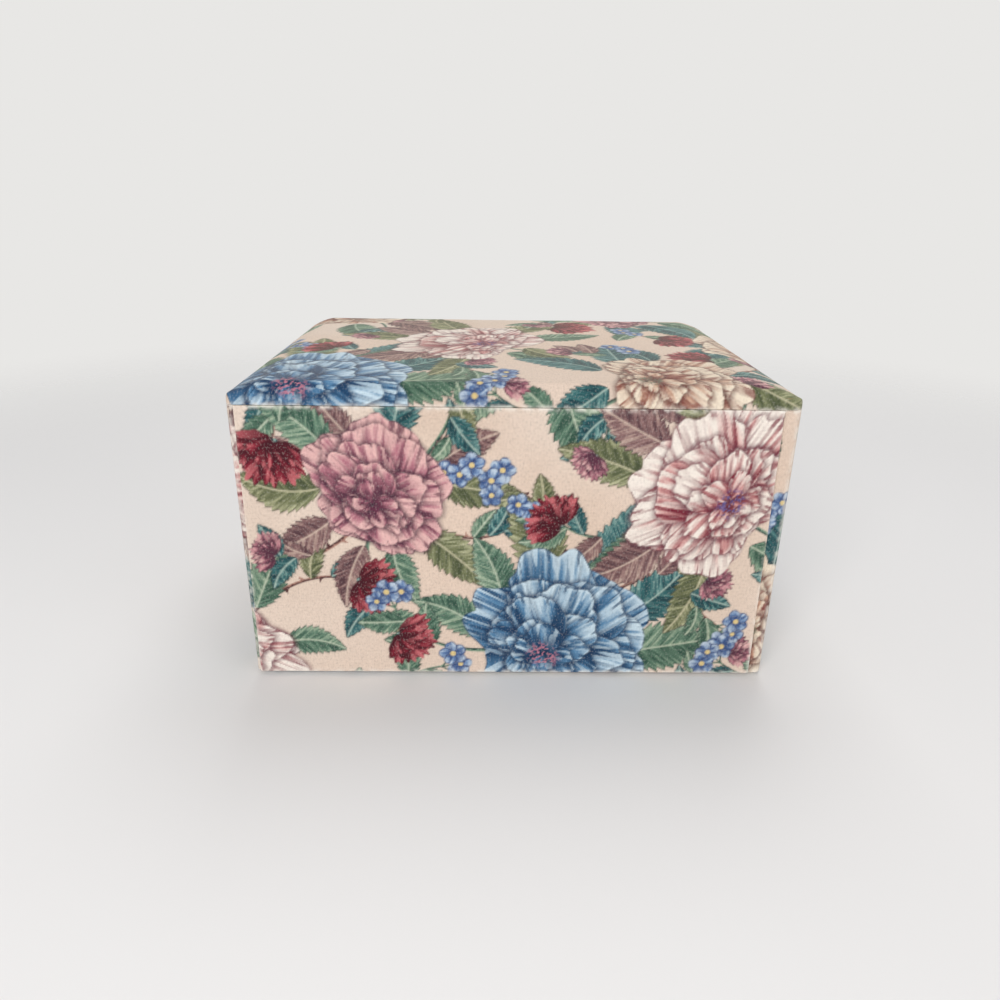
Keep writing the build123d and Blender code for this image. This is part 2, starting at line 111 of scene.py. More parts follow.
def scatter(column: Array, row: Array, seed: float) -> Array:
    """Repeatable scatter from 0 to 1 for whole-numbered places: what is left of a large sine."""
    wave = np.sin(column * 127.1 + row * 311.7 + seed * 74.7) * 43758.5453
    return wave - np.floor(wave)


def mottle(x: Array, y: Array, seed: float) -> Array:
    """Smooth noise from 0 to 1: scatter at whole numbers, eased between them by 3t² - 2t³.

    Args:
        x: places across, one cell of the noise apart at whole numbers.
        y: places along, likewise.
        seed: tells one noise from another.

    Returns:
        The noise at each place.
    """
    column, row = np.floor(x), np.floor(y)
    ease_x, ease_y = (t * t * (3 - 2 * t) for t in (x - column, y - row))
    low = scatter(column, row, seed) * (1 - ease_x) + scatter(column + 1, row, seed) * ease_x
    high = scatter(column, row + 1, seed) * (1 - ease_x) + scatter(column + 1, row + 1, seed) * ease_x
    return low * (1 - ease_y) + high * ease_y


def dye(red: int, green: int, blue: int) -> Array:
    """A colour given as it looks, from 0 to 255, as linear light."""
    shown = np.array((red, green, blue)) / 255
    return np.where(shown <= 0.04045, shown / 12.92, ((shown + 0.055) / 1.055) ** 2.4)


def paint(red: int, green: int, blue: int) -> Colour:
    """A colour given as it looks, from 0 to 255, for a shader socket."""
    return (*(float(x) for x in dye(red, green, blue)), 1.0)


# Printed cloth

@dataclass(frozen=True, eq=False)
class Inks:
    """The inks of one flower or leaf, from the deepest to the palest, its outline and its flecks."""

    deep: Array
    middle: Array
    pale: Array
    outline: Array
    fleck: Array

    def at(self, tone: Array) -> Array:
        """Deep ink at tone 0, middle at a half and pale at 1.

        Args:
            tone: the tone of each point.

        Returns:
            One colour for each point.
        """
        low = np.clip(tone * 2, 0, 1)[:, None]
        high = np.clip(tone * 2 - 1, 0, 1)[:, None]
        return self.deep + (self.middle - self.deep) * low + (self.pale - self.middle) * high


GROUND = dye(229, 214, 201)
GROUND_STAIN = np.array((0.2, 0.9, 1.4))
BLUE = Inks(dye(36, 74, 108), dye(100, 144, 178), dye(206, 224, 234), dye(28, 52, 84), dye(204, 136, 152))
CREAM = Inks(dye(128, 44, 62), dye(214, 162, 158), dye(244, 234, 224), dye(108, 54, 70), dye(104, 96, 150))
TAWNY = Inks(dye(128, 60, 56), dye(208, 172, 150), dye(240, 226, 206), dye(98, 62, 58), dye(112, 124, 104))
ROSE = Inks(dye(104, 60, 78), dye(188, 128, 140), dye(232, 190, 186), dye(78, 50, 66), dye(112, 56, 80))
CRIMSON = Inks(dye(84, 22, 38), dye(140, 42, 60), dye(206, 120, 124), dye(66, 22, 36), dye(224, 170, 160))
SPRIG = Inks(dye(68, 92, 138), dye(124, 152, 190), dye(196, 210, 224), dye(54, 64, 104), dye(226, 204, 150))
TEAL = Inks(dye(34, 72, 80), dye(66, 116, 118), dye(140, 174, 168), dye(28, 54, 60), dye(176, 196, 186))
SAGE = Inks(dye(60, 92, 78), dye(110, 140, 120), dye(172, 188, 164), dye(44, 66, 60), dye(196, 206, 184))
OLIVE = Inks(dye(84, 92, 66), dye(130, 134, 100), dye(186, 186, 152), dye(70, 66, 54), dye(206, 200, 170))
MAUVE = Inks(dye(96, 68, 74), dye(150, 118, 116), dye(196, 172, 160), dye(76, 52, 58), dye(212, 190, 176))
LEAF_INKS = (TEAL, SAGE, TEAL, OLIVE, SAGE, MAUVE)
GREEN_STEM = (dye(52, 84, 76), dye(134, 160, 138))
BROWN_STEM = (dye(96, 62, 62), dye(182, 142, 128))
BLOOM_KINDS = ((BLUE, 47.0, 0.0), (CREAM, 42.0, 0.30), (ROSE, 34.0, 0.08), (TAWNY, 40.0, 0.22))


class FlatCloth:
    """Colours at places on the flat cloth, in millimetres, which wrap at the print's repeat.

    The places are kept in order across the cloth, so that those near a motif are found fast.
    """

    def __init__(self, places: Array, repeat: Point, grain: float) -> None:
        """Start from the bare ground.

        Args:
            places: one row of two numbers for each point.
            repeat: width and height of the print's repeat.
            grain: the distance between neighbouring points.
        """
        wrapped = places % np.array(repeat)
        self.order = np.argsort(wrapped[:, 0])
        self.places, self.repeat, self.grain = wrapped[self.order], repeat, grain
        warm = mottle(*(self.places / 60).T, 3)[:, None]
        self.colour = GROUND * (1 - 0.10 * warm * GROUND_STAIN)

    def near(self, place: Point, reach: float) -> tuple[Array, Array, Array]:
        """Points near a place.

        Args:
            place: where to look, on the flat cloth.
            reach: how far to look each way.

        Returns:
            Their numbers, and how far they are across and along from the place.
        """
        across, width = self.places[:, 0], self.repeat[0]
        start = (place[0] - reach) % width
        first, last = np.searchsorted(across, (start, start + 2 * reach))
        again = np.searchsorted(across, start + 2 * reach - width)
        which = np.concatenate((np.arange(first, last), np.arange(again)))
        half = np.array(self.repeat) / 2
        offset = (self.places[which] - place + half) % self.repeat - half
        inside = np.abs(offset[:, 1]) < reach
        return which[inside], offset[inside, 0], offset[inside, 1]

    def lay(self, which: Array, colour: Array, cover: Array) -> None:
        """Print a colour on some points, as strongly as cover says, from 0 to 1."""
        self.colour[which] += (colour - self.colour[which]) * cover[:, None]

    def finished(self) -> Array:
        """The colours of all points.

        Returns:
            One row for each place, in the order that the places were given in.
        """
        colours = np.zeros_like(self.colour)
        colours[self.order] = np.clip(self.colour, 0, 1)
        return colours


@dataclass(frozen=True)
class Petal:
    """One ruffled petal: an oval whose rim waves, brushed along its length."""

    heading: float
    base: float
    length: float
    width: float
    seed: int
    tone_base: float
    tone_tip: float
    ruffle: float = 0.07
    lobes: float = 3.0
    shade: float = 0.45
    shade_reach: float = 3.2
    stroke: float = 1.9
    contrast: Point = (0.95, 0.75)
    rim_light: float = 0.22
    side_shade: float = 0.18
    drag: float = 0.92
    lick: float = 0.70
    sweep: float = 0.9
    fold: float = 0.6

    def draw(self, cloth: FlatCloth, which: Array, x: Array, y: Array, inks: Inks) -> None:
        """Print it from its flower's middle, over the shade that it throws.

        Args:
            cloth: what is printed on.
            which: the points that it may reach.
            x: how far they are across from the flower's middle.
            y: how far they are along from it.
            inks: the flower's inks.
        """
        along = x * np.cos(self.heading) + y * np.sin(self.heading) - self.base
        across = -x * np.sin(self.heading) + y * np.cos(self.heading)
        reach = self.shade_reach
        rough = np.abs(along - 0.52 * self.length) < 0.62 * self.length + reach
        rough &= np.abs(across) < 0.62 * self.width + reach
        which, along, across = which[rough], along[rough], across[rough]
        over, aside = along / (0.5 * self.length) - 1.04, across / (0.5 * self.width)
        angle, size = np.arctan2(aside, over), np.hypot(over, aside)
        wave = np.sin(self.lobes * angle * 2 + self.seed) * np.clip(np.cos(angle), 0, 1)
        rim = 1 + self.ruffle * wave
        rim += self.ruffle * 0.9 * (mottle(angle * 3.2, angle * 0 + self.seed, 11) - 0.5)
        rim -= 0.12 * bell(angle, 0.16) * (self.seed % 3 == 0)
        inside = (rim - size) * 0.5 * min(self.length, self.width)
        near = inside > -reach
        if not near.any():
            return
        which, inside, along, across = which[near], inside[near], along[near], across[near]
        edge = size[near] / rim[near]
        cloth.lay(which, inks.outline, eased(inside, -reach, 0.0) ** 1.5 * self.shade)
        run = np.clip(along / self.length, 0, 1)
        fan = across / (0.42 + 0.58 * np.sqrt(run + 0.02)) / self.width
        strokes = self.width / self.stroke
        brush = 0.6 * mottle(fan * strokes + self.seed, run * 2.6, self.seed)
        brush += 0.4 * mottle(fan * strokes * 1.7 + self.seed, run * 4.0, self.seed + 1)
        broad = mottle(fan * 5 + self.seed * 3, run * 1.4, self.seed + 2)
        tone = self.tone_base + (self.tone_tip - self.tone_base) * eased(run, 0.05, 0.95)
        tone = tone + (brush - 0.5) * self.contrast[0] + (broad - 0.5) * self.contrast[1]
        tone += self.rim_light * eased(edge, 0.84, 0.97) - self.side_shade * eased(np.abs(fan), 0.30, 0.5)
        ink = brushed(inks.at(tone), inks.outline, 0.75 * eased(-inside, -0.75, -0.25))
        drag = mottle(fan * strokes * 1.1 + self.seed, run * 1.5, self.seed + 7)
        drag = eased(drag, 0.50, 0.64) * (1 - run) ** 0.6 * eased(run, 0.02, 0.12)
        ink = brushed(ink, inks.deep, self.drag * drag)
        lick = mottle(fan * strokes * 1.3 + 31, run * 1.9 + self.seed, self.seed + 6)
        lick = eased(lick, 0.60, 0.70) * eased(edge, 0.62, 0.84)
        ink = brushed(ink, inks.deep, self.lick * lick)
        sweep = mottle(fan * strokes + self.seed, run * 2.1 + 9, self.seed + 8)
        ink = brushed(ink, inks.pale, self.sweep * eased(sweep, 0.58, 0.70) * run**1.4)
        ink = brushed(ink, inks.deep, self.fold * bell(fan, 0.035) * (1 - run))
        cloth.lay(which, ink, np.clip(inside / cloth.grain + 0.5, 0, 1))


@dataclass(frozen=True)
class Bloom:
    """A full double flower: rings of ruffled petals that shrink and turn towards the middle."""

    place: Point
    radius: float
    inks: Inks
    seed: int
    facing: float
    lift: float
    tilt: float = 0.26
    counts: tuple[int, ...] = (6, 7, 6, 5, 4, 4)

    def draw(self, cloth: FlatCloth) -> None:
        """Print the rings from the outside in, then the middle.

        Args:
            cloth: what is printed on.
        """
        which, x, y = cloth.near(self.place, self.radius * 1.5)
        if not len(which):
            return
        random = np.random.default_rng(self.seed)
        turn = random.uniform(0, TURN)
        facing = toward(self.facing)
        tilt = self.tilt * (x * facing[0] + y * facing[1])
        x, y = x + tilt * facing[0], y + tilt * facing[1]
        lean = self.tilt * self.radius * facing
        for ring, count in enumerate(self.counts):
            share = 1 - ring / len(self.counts)
            turn += np.pi / count + random.uniform(-0.4, 0.4)
            reach = self.radius * (0.24 + 0.82 * share**1.15)
            centre = lean * (1 - share)
            for index in random.permutation(count):
                heading = turn + TURN * index / count + random.uniform(-0.30, 0.30)
                stretch = 1 - 0.18 * np.cos(heading - self.facing) + random.uniform(-0.20, 0.10)
                length = reach * stretch * 0.92
                Petal(
                    heading=heading,
                    base=reach * stretch - length,
                    length=length,
                    width=length * random.uniform(0.72, 1.20),
                    seed=new_seed(random),
                    tone_base=self.lift - 0.08 + 0.10 * (ring % 2),
                    tone_tip=self.lift + random.uniform(0.40, 1.0) - 0.04 * ring,
                    ruffle=random.uniform(0.06, 0.12),
                    lobes=random.choice((1.5, 2.0, 2.5, 3.0)),
                    shade=0.16 if ring == 0 else 0.50,
                    shade_reach=1.6 if ring == 0 else 3.4,
                ).draw(cloth, which, x - centre[0], y - centre[1], self.inks)
        self.draw_middle(cloth, which, x - lean[0], y - lean[1])

    def draw_middle(self, cloth: FlatCloth, which: Array, x: Array, y: Array) -> None:
        """Print specks round the middle, denser towards it.

        Args:
            cloth: what is printed on.
            which: the points that they may reach.
            x: how far they are across from the middle.
            y: how far they are along from it.
        """
        size = np.hypot(x, y) / (0.17 * self.radius)
        speck = eased(mottle(x * 0.95, y * 0.95, self.seed), 0.52, 0.60)
        cloth.lay(which, self.inks.fleck, 0.85 * speck * eased(-size, -1.35, -0.55))
        dark = eased(mottle(x * 1.3 + 7, y * 1.3, self.seed + 5), 0.60, 0.68)
        cloth.lay(which, self.inks.outline, 0.8 * dark * eased(-size, -1.1, -0.4))


@dataclass(frozen=True)
class Leaf:
    """A toothed leaf on a curved midrib, lighter on one half, with slanting veins."""

    place: Point
    heading: float
    length: float
    width: float
    bend: float
    inks: Inks
    seed: int
    teeth: float = 11.0
    notch: float = 0.22
    vein: float = 0.6
    midrib: float = 0.85
    rim: float = 0.7

    def draw(self, cloth: FlatCloth) -> None:
        """Print it from its foot: its half width is sin(pi run^0.78)^0.85, notched by the teeth.

        Args:
            cloth: what is printed on.
        """
        ahead = toward(self.heading)
        middle = np.array(self.place) + 0.5 * self.length * ahead
        which, x, y = cloth.near(tuple(middle), 0.62 * self.length)
        if not len(which):
            return
        run = (x * ahead[0] + y * ahead[1]) / self.length + 0.5
        off = y * ahead[0] - x * ahead[1] - self.bend * self.length * (run * run - run)
        held = np.clip(run, 0, 1)
        half = 0.5 * self.width * np.sin(np.pi * held**0.78) ** 0.85
        half *= 1 + self.notch * ((held * self.teeth) % 1 - 0.45)
        inside = np.where((run > 0) & (run < 1), half - np.abs(off), -9)
        near = inside > -1.2
        which, inside, run, off, half = which[near], inside[near], run[near], off[near], half[near]
        cloth.lay(which, self.inks.outline, 0.25 * eased(inside, -1.2, 0.0))
        share = np.clip(off / np.maximum(half, 0.4), -1, 1)
        slant = run * self.length - np.abs(off) * 0.9
        tone = 0.40 + np.where(off > 0, 0.16, -0.12) - 0.1 * (run < 0.2)
        tone += 0.85 * (mottle(slant * 0.95, share * 2.2 + self.seed, self.seed) - 0.5)
        tone += 0.40 * (mottle(slant * 1.7, share * 3.5 + self.seed, self.seed + 3) - 0.5)
        tone += 0.25 * eased(np.abs(share), 0.55, 0.95)
        vein = bell((slant / self.length * self.teeth * 0.75) % 1 - 0.5, 0.10)
        ink = brushed(self.inks.at(tone), self.inks.deep, self.vein * vein * (1 - np.abs(share)) ** 0.3)
        ink = brushed(ink, self.inks.fleck, self.midrib * bell(off, 0.5))
        ink = brushed(ink, self.inks.outline, self.rim * eased(-inside, -0.8, -0.2))
        cloth.lay(which, ink, np.clip(inside / cloth.grain + 0.5, 0, 1))


@dataclass(frozen=True, eq=False)
class Stem:
    """A stem along the curve (1-t)²A + 2t(1-t)B + t²C, thinner towards its end, thorny or smooth."""

    start: Point
    through: Point
    end: Point
    width: float
    inks: tuple[Array, Array]
    seed: int
    thorns: int = 0
    thorn: float = 2.3
    taper: float = 0.55

    def at(self, t: Array) -> Array:
        """Points on the curve.

        Args:
            t: how far along each point is, from 0 to 1.

        Returns:
            One row of two for each point.
        """
        a, b, c = (np.array(p) for p in (self.start, self.through, self.end))
        t = np.asarray(t)[..., None]
        return a * (1 - t) ** 2 + b * 2 * t * (1 - t) + c * t * t

    def heading(self, t: float) -> float:
        """The way that the curve runs at t, as an angle."""
        ahead = self.at(t + 0.01) - self.at(t - 0.01)
        return float(np.arctan2(ahead[1], ahead[0]))

    def draw(self, cloth: FlatCloth) -> None:
        """Print each point by how far it is from the nearest of the curve's short stretches.

        Args:
            cloth: what is printed on.
        """
        steps = np.linspace(0, 1, 33)
        line = self.at(steps)
        middle = (line.min(0) + line.max(0)) / 2
        which, x, y = cloth.near(tuple(middle), float(np.ptp(line, axis=0).max()) / 2 + 5)
        if not len(which):
            return
        points = np.stack((x, y), 1) + middle
        best = np.full(len(points), np.inf)
        run, side = np.zeros(len(points)), np.zeros(len(points))
        for first, last, t in zip(line[:-1], line[1:], steps[:-1]):
            ahead = last - first
            span = float(np.hypot(*ahead)) + 1e-9
            part = np.clip(((points - first) @ ahead) / span**2, 0, 1)
            offset = points - first - part[:, None] * ahead
            far = np.hypot(offset[:, 0], offset[:, 1])
            closer = far < best
            best = np.where(closer, far, best)
            run = np.where(closer, t + part * steps[1], run)
            turned = (ahead[0] * offset[:, 1] - ahead[1] * offset[:, 0]) / span
            side = np.where(closer, turned, side)
        uneven = 0.9 + 0.25 * mottle(run * 14, run * 0, self.seed)
        half = 0.5 * self.width * (1 - self.taper * run) * uneven
        if self.thorns:
            spike = np.clip(1 - 3.2 * ((run * self.thorns) % 1), 0, 1) ** 1.6
            way = np.where(np.floor(run * self.thorns) % 2 > 0, 1.0, -1.0)
            half = half + self.thorn * spike * (side * way > 0) * (run < 0.93)
        lit = side / np.maximum(half, 0.2) + mottle(run * 60, side, self.seed) - 0.5
        ink = brushed(self.inks[0], self.inks[1], eased(lit, -0.5, 0.7))
        cloth.lay(which, ink, np.clip((half - best) / cloth.grain + 0.5, 0, 1))


@dataclass(frozen=True)
class FringedFlower:
    """A small flower in side view: two fans of toothed petals over a green cup."""

    place: Point
    heading: float
    radius: float
    inks: Inks
    seed: int

    def draw(self, cloth: FlatCloth) -> None:
        """Print the cup, then the long fan and the short one.

        Args:
            cloth: what is printed on.
        """
        which, x, y = cloth.near(self.place, self.radius * 1.5)
        if not len(which):
            return
        random = np.random.default_rng(self.seed)
        ahead = toward(self.heading)
        foot = tuple(np.array(self.place) - 0.55 * self.radius * ahead)
        long, wide = 0.75 * self.radius, 0.5 * self.radius
        Leaf(foot, self.heading, long, wide, 0, TEAL, self.seed, 3).draw(cloth)
        x, y = x + 0.35 * self.radius * ahead[0], y + 0.35 * self.radius * ahead[1]
        for layer, (count, reach) in enumerate(((6, 1.0), (4, 0.66))):
            for index in range(count):
                swing = (1.20 - 0.25 * layer) * (2 * index / (count - 1) - 1)
                length = 1.3 * self.radius * reach * random.uniform(0.90, 1.06)
                Petal(
                    heading=self.heading + swing,
                    base=-0.05 * self.radius,
                    length=length,
                    width=length * 0.66,
                    seed=new_seed(random),
                    tone_base=-0.05,
                    tone_tip=random.uniform(0.35, 0.7),
                    ruffle=0.13,
                    lobes=5.0,
                    shade=0.35 * layer,
                    shade_reach=1.2,
                ).draw(cloth, which, x, y, self.inks)


@dataclass(frozen=True)
class SmallFlower:
    """Five round petals round a pale eye."""

    place: Point
    radius: float
    inks: Inks
    seed: int

    def draw(self, cloth: FlatCloth) -> None:
        """Print the five petals and the eye.

        Args:
            cloth: what is printed on.
        """
        which, x, y = cloth.near(self.place, self.radius * 1.5)
        if not len(which):
            return
        random = np.random.default_rng(self.seed)
        turn = random.uniform(0, TURN)
        for index in range(5):
            Petal(
                heading=turn + TURN * index / 5,
                base=0.05 * self.radius,
                length=self.radius,
                width=0.95 * self.radius,
                seed=new_seed(random),
                tone_base=0.1,
                tone_tip=0.85,
                ruffle=0.05,
                lobes=1.5,
                shade=0.15,
                shade_reach=0.8,
            ).draw(cloth, which, x, y, self.inks)
        cloth.lay(which, self.inks.fleck, eased(-np.hypot(x, y), -0.28 * self.radius, -0.16 * self.radius))


Motif = Stem | Leaf | FringedFlower | SmallFlower | Bloom


class Spray(Enum):
    """What a spray beside a bloom ends in."""

    CRIMSON_FLOWER = 0
    BLUE_SPRIG = 1
    ROSE_FLOWER = 2


@dataclass(frozen=True)
class Chintz:
    """The print: blooms on a staggered net, each with leaves and five sprays round it."""

    repeat: Point = (484.0, 322.0)
    columns: int = 6
    rows: int = 4
    seed: int = 12
    leaves: int = 10
    leaf_length: Point = (30, 50)
    sprays: int = 5
    spray_reach: Point = (24, 42)
    spray_leaves: tuple[float, ...] = (0.62, 0.75, 0.88)
    stem_width: float = 2.2
    thorns: int = 9
    twigs: tuple[float, ...] = (-0.8, 0.0, 0.8)
    twig_length: float = 9.0
    twig_width: float = 1.1

    def blooms(self) -> list[Bloom]:
        """The large flowers.

        Returns:
            A flower for every other place of the net.
        """
        random = np.random.default_rng(self.seed)
        cell = (self.repeat[0] / self.columns, self.repeat[1] / self.rows)
        found = []
        for column in range(self.columns):
            for row in range(column % 2, self.rows, 2):
                kind = ((column + row) // 2 + column - row) % len(BLOOM_KINDS)
                inks, radius, lift = BLOOM_KINDS[kind]
                across = (column + 0.5 + random.uniform(-0.12, 0.12)) * cell[0]
                along = (row + 0.5 + random.uniform(-0.10, 0.10)) * cell[1]
                radius *= random.uniform(0.95, 1.04)
                seed = new_seed(random)
                found.append(Bloom((across, along), radius, inks, seed, random.uniform(0, TURN), lift))
        return found

    @staticmethod
    def leaf(random: Random, place: Array, heading: float, length: float) -> Leaf:
        """One leaf of a chance bend, width and colour.

        Args:
            random: where chance comes from.
            place: its foot.
            heading: the way that it points.
            length: its length.

        Returns:
            The leaf.
        """
        return Leaf(
            place=tuple(place),
            heading=heading,
            length=length,
            width=length * random.uniform(0.42, 0.56),
            bend=random.uniform(-0.5, 0.5),
            inks=LEAF_INKS[int(random.integers(0, len(LEAF_INKS)))],
            seed=new_seed(random),
            teeth=8.0 if length < 25 else 11.0,
        )

    def spray(
        self, random: Random, bloom: Bloom, heading: float, thorny: bool
    ) -> tuple[list[Motif], list[Motif], list[Motif]]:
        """A bowed stem with three leaves that ends in a flower or a sprig.

        Args:
            random: where chance comes from.
            bloom: the bloom that it comes out from under.
            heading: the way that it goes.
            thorny: whether its stem has thorns.

        Returns:
            Its stems, its leaves and its flowers.
        """
        reach = bloom.radius + random.uniform(*self.spray_reach)
        bow = heading + random.choice((-0.5, 0.5))
        start = np.array(bloom.place)
        end = start + reach * toward(heading)
        through = start + 0.8 * reach * toward(bow)
        seed = new_seed(random)
        inks, thorns = (BROWN_STEM, self.thorns) if thorny else (GREEN_STEM, 0)
        stem = Stem(tuple(start), tuple(through), tuple(end), self.stem_width, inks, seed, thorns)
        stems, leaves, flowers = [stem], [], []
        out = stem.heading(1.0)
        kind = Spray(int(random.integers(0, 3)))
        if kind is Spray.CRIMSON_FLOWER:
            flowers.append(FringedFlower(tuple(end), out, random.uniform(12, 17), CRIMSON, seed + 1))
        elif kind is Spray.ROSE_FLOWER:
            flowers.append(FringedFlower(tuple(end), out, random.uniform(8, 10), ROSE, seed + 1))
        else:
            for number, twig in enumerate(self.twigs):
                spot = end + self.twig_length * toward(out + twig)
                stems.append(Stem(tuple(end), tuple(end), tuple(spot), self.twig_width, GREEN_STEM, seed))
                flowers.append(SmallFlower(tuple(spot), random.uniform(5, 6.5), SPRIG, seed + number))
        for t in self.spray_leaves:
            side = random.choice((-1.0, 1.0)) * random.uniform(0.6, 1.0)
            leaves.append(self.leaf(random, stem.at(t), stem.heading(t) + side, random.uniform(15, 24)))
        return stems, leaves, flowers

    def motifs(self) -> list[Motif]:
        """Everything on the cloth.

        Returns:
            Stems, leaves, small flowers and blooms, in the order of printing.
        """
        random = np.random.default_rng(self.seed + 1)
        blooms = self.blooms()
        stems, leaves, flowers = [], [], []
        for number, bloom in enumerate(blooms):
            first = random.uniform(0, TURN)
            for index in range(self.leaves):
                heading = first + TURN * index / self.leaves + random.uniform(-0.22, 0.22)
                foot = np.array(bloom.place) + 0.74 * bloom.radius * toward(heading)
                heading += random.uniform(-0.5, 0.5)
                leaves.append(self.leaf(random, foot, heading, random.uniform(*self.leaf_length)))
            for index in range(self.sprays):
                heading = first + TURN * (index + 0.35) / self.sprays + random.uniform(-0.3, 0.3)
                more = self.spray(random, bloom, heading, (number + index) % 2 == 0)
                for kept, added in zip((stems, leaves, flowers), more):
                    kept.extend(added)
        return [*stems, *leaves, *flowers, *blooms]

    def colours(self, places: Array, offset: Point, grain: float) -> Array:
        """Colours of the print.

        Args:
            places: places on a flat piece of cloth, in millimetres.
            offset: where on the print the piece is cut.
            grain: the distance between neighbouring places.

        Returns:
            One row of linear red, green and blue for each place.
        """
        cloth = FlatCloth(places + offset, self.repeat, grain)
        for motif in self.motifs():
            motif.draw(cloth)
        return cloth.finished()


# Surfaces

def read(items: bpy.types.bpy_prop_collection, name: str, width: int) -> Array:
    """Read one property of every item.

    Args:
        items: vertices or faces.
        name: the property.
        width: how many numbers it has.

    Returns:
        One row for each item.
    """
    found = np.zeros(width * len(items), np.float32)
    items.foreach_get(name, found)
    return found.reshape(-1, width)


@dataclass
class Surface:
    """Points and four-cornered faces of one piece, with each point's place on the flat cloth.

    Building it also says which vertex each point went into, and each vertex's flat place.
    """

    points: list[Array] = field(default_factory=list)
    flats: list[Array] = field(default_factory=list)
    quads: list[Array] = field(default_factory=list)
    caps: list[Array] = field(default_factory=list)
    count: int = 0
    joined: Array | None = None
    flat_places: Array | None = None

    def add_grid(
        self, points: Array, flat: Array | None = None, closed: bool = False, flip: bool = False
    ) -> Array:
        """Add a grid of points and the faces between its neighbours.

        Args:
            points: rows by columns by three, in millimetres.
            flat: rows by columns by two, places on the flat cloth.
            closed: whether the last column joins the first.
            flip: whether the faces turn the other way.

        Returns:
            The numbers of its points, as rows by columns.
        """
        rows, columns = points.shape[:2]
        numbers = self.count + np.arange(rows * columns).reshape(rows, columns)
        self.points.append(points.reshape(-1, 3))
        self.flats.append((np.zeros((rows, columns, 2)) if flat is None else flat).reshape(-1, 2))
        self.count += rows * columns
        after = np.roll(numbers, -1, axis=1) if closed else numbers[:, 1:]
        here = numbers if closed else numbers[:, :-1]
        quads = np.stack((here[:-1], after[:-1], after[1:], here[1:]), -1).reshape(-1, 4)
        self.quads.append(quads[:, ::-1] if flip else quads)
        return numbers

    def build(self, name: str, outward: bool = True) -> Piece:
        """Make the object: points in one place are joined, so quads at a pole become triangles.

        Args:
            name: the piece's name.
            outward: whether to turn a closed form whose faces look inwards.

        Returns:
            The object, with the flat places as its UV map.
        """
        points, flats = np.concatenate(self.points) * MM, np.concatenate(self.flats)
        spots = np.round(points / 1e-7).astype(np.int64)
        _, first, joined = np.unique(spots, axis=0, return_index=True, return_inverse=True)
        self.joined = joined.ravel()
        points, flats = points[first], flats[first]
        quads = self.joined[np.concatenate(self.quads)]
        keep = quads != np.roll(quads, 1, axis=1)
        sizes = keep.sum(1)
        whole = sizes >= 3
        loops, sizes = quads[whole][keep[whole]], sizes[whole]
        for cap in self.caps:
            around = self.joined[cap]
            around = around[around != np.roll(around, 1)]
            loops, sizes = np.append(loops, around), np.append(sizes, len(around))
        starts = np.concatenate(([0], np.cumsum(sizes)[:-1]))
        mesh = bpy.data.meshes.new(name)
        mesh.vertices.add(len(points))
        mesh.vertices.foreach_set("co", points.astype(np.float32).ravel())
        mesh.loops.add(len(loops))
        mesh.loops.foreach_set("vertex_index", loops.astype(np.int32))
        mesh.polygons.add(len(sizes))
        mesh.polygons.foreach_set("loop_start", starts.astype(np.int32))
        mesh.update(calc_edges=True)
        if outward and self.volume(mesh) < 0:
            mesh.flip_normals()
            loops = np.zeros(len(mesh.loops), np.int32)
            mesh.loops.foreach_get("vertex_index", loops)
        mesh.polygons.foreach_set("use_smooth", np.ones(len(sizes), bool))
        layer = mesh.uv_layers.new(name="flat")
        layer.uv.foreach_set("vector", (flats[loops] * MM).astype(np.float32).ravel())
        self.flat_places = flats
        made = bpy.data.objects.new(name, mesh)
        SCENE.collection.objects.link(made)
        return made

    @staticmethod
    def volume(mesh: bpy.types.Mesh) -> float:
        """Signed volume: a third of each face's area times its distance from the origin."""
        normals, centres = read(mesh.polygons, "normal", 3), read(mesh.polygons, "center", 3)
        return float(((normals * centres).sum(1) * read(mesh.polygons, "area", 1)[:, 0]).sum() / 3)


def set_values(piece: Piece, name: str, values: Array) -> None:
    """Store one number for each vertex."""
    attribute = piece.data.attributes.new(name, "FLOAT", "POINT")
    attribute.data.foreach_set("value", values.astype(np.float32))


def set_colours(piece: Piece, name: str, colours: Array) -> None:
    """Store one linear colour for each vertex.

    Args:
        piece: the piece that gets them.
        name: what the finish knows them by.
        colours: one row of red, green and blue for each vertex.
    """
    attribute = piece.data.color_attributes.new(name=name, type="FLOAT_COLOR", domain="POINT")
    whole = np.concatenate((colours, np.ones((len(colours), 1))), 1)
    attribute.data.foreach_set("color", whole.astype(np.float32).ravel())


def vertices_of(piece: Piece) -> Array:
    """A piece's vertices, as rows of three, in millimetres."""
    return read(piece.data.vertices, "co", 3).astype(float) / MM


def raised(plan: Array, level: Array) -> Array:
    """Places of the plan, with the height of each."""
    return np.concatenate((plan, level[..., None]), -1)


def running(line: Array) -> Array:
    """How far along a line of points each of them is."""
    return np.concatenate(([0], np.cumsum(np.hypot(*np.diff(line, axis=0).T))))


def laid_flat(across: Array, along: Array) -> Array:
    """A grid of places on the flat cloth, rows by columns by two."""
    return np.stack(np.broadcast_arrays(across[None, :], along[:, None]), -1)


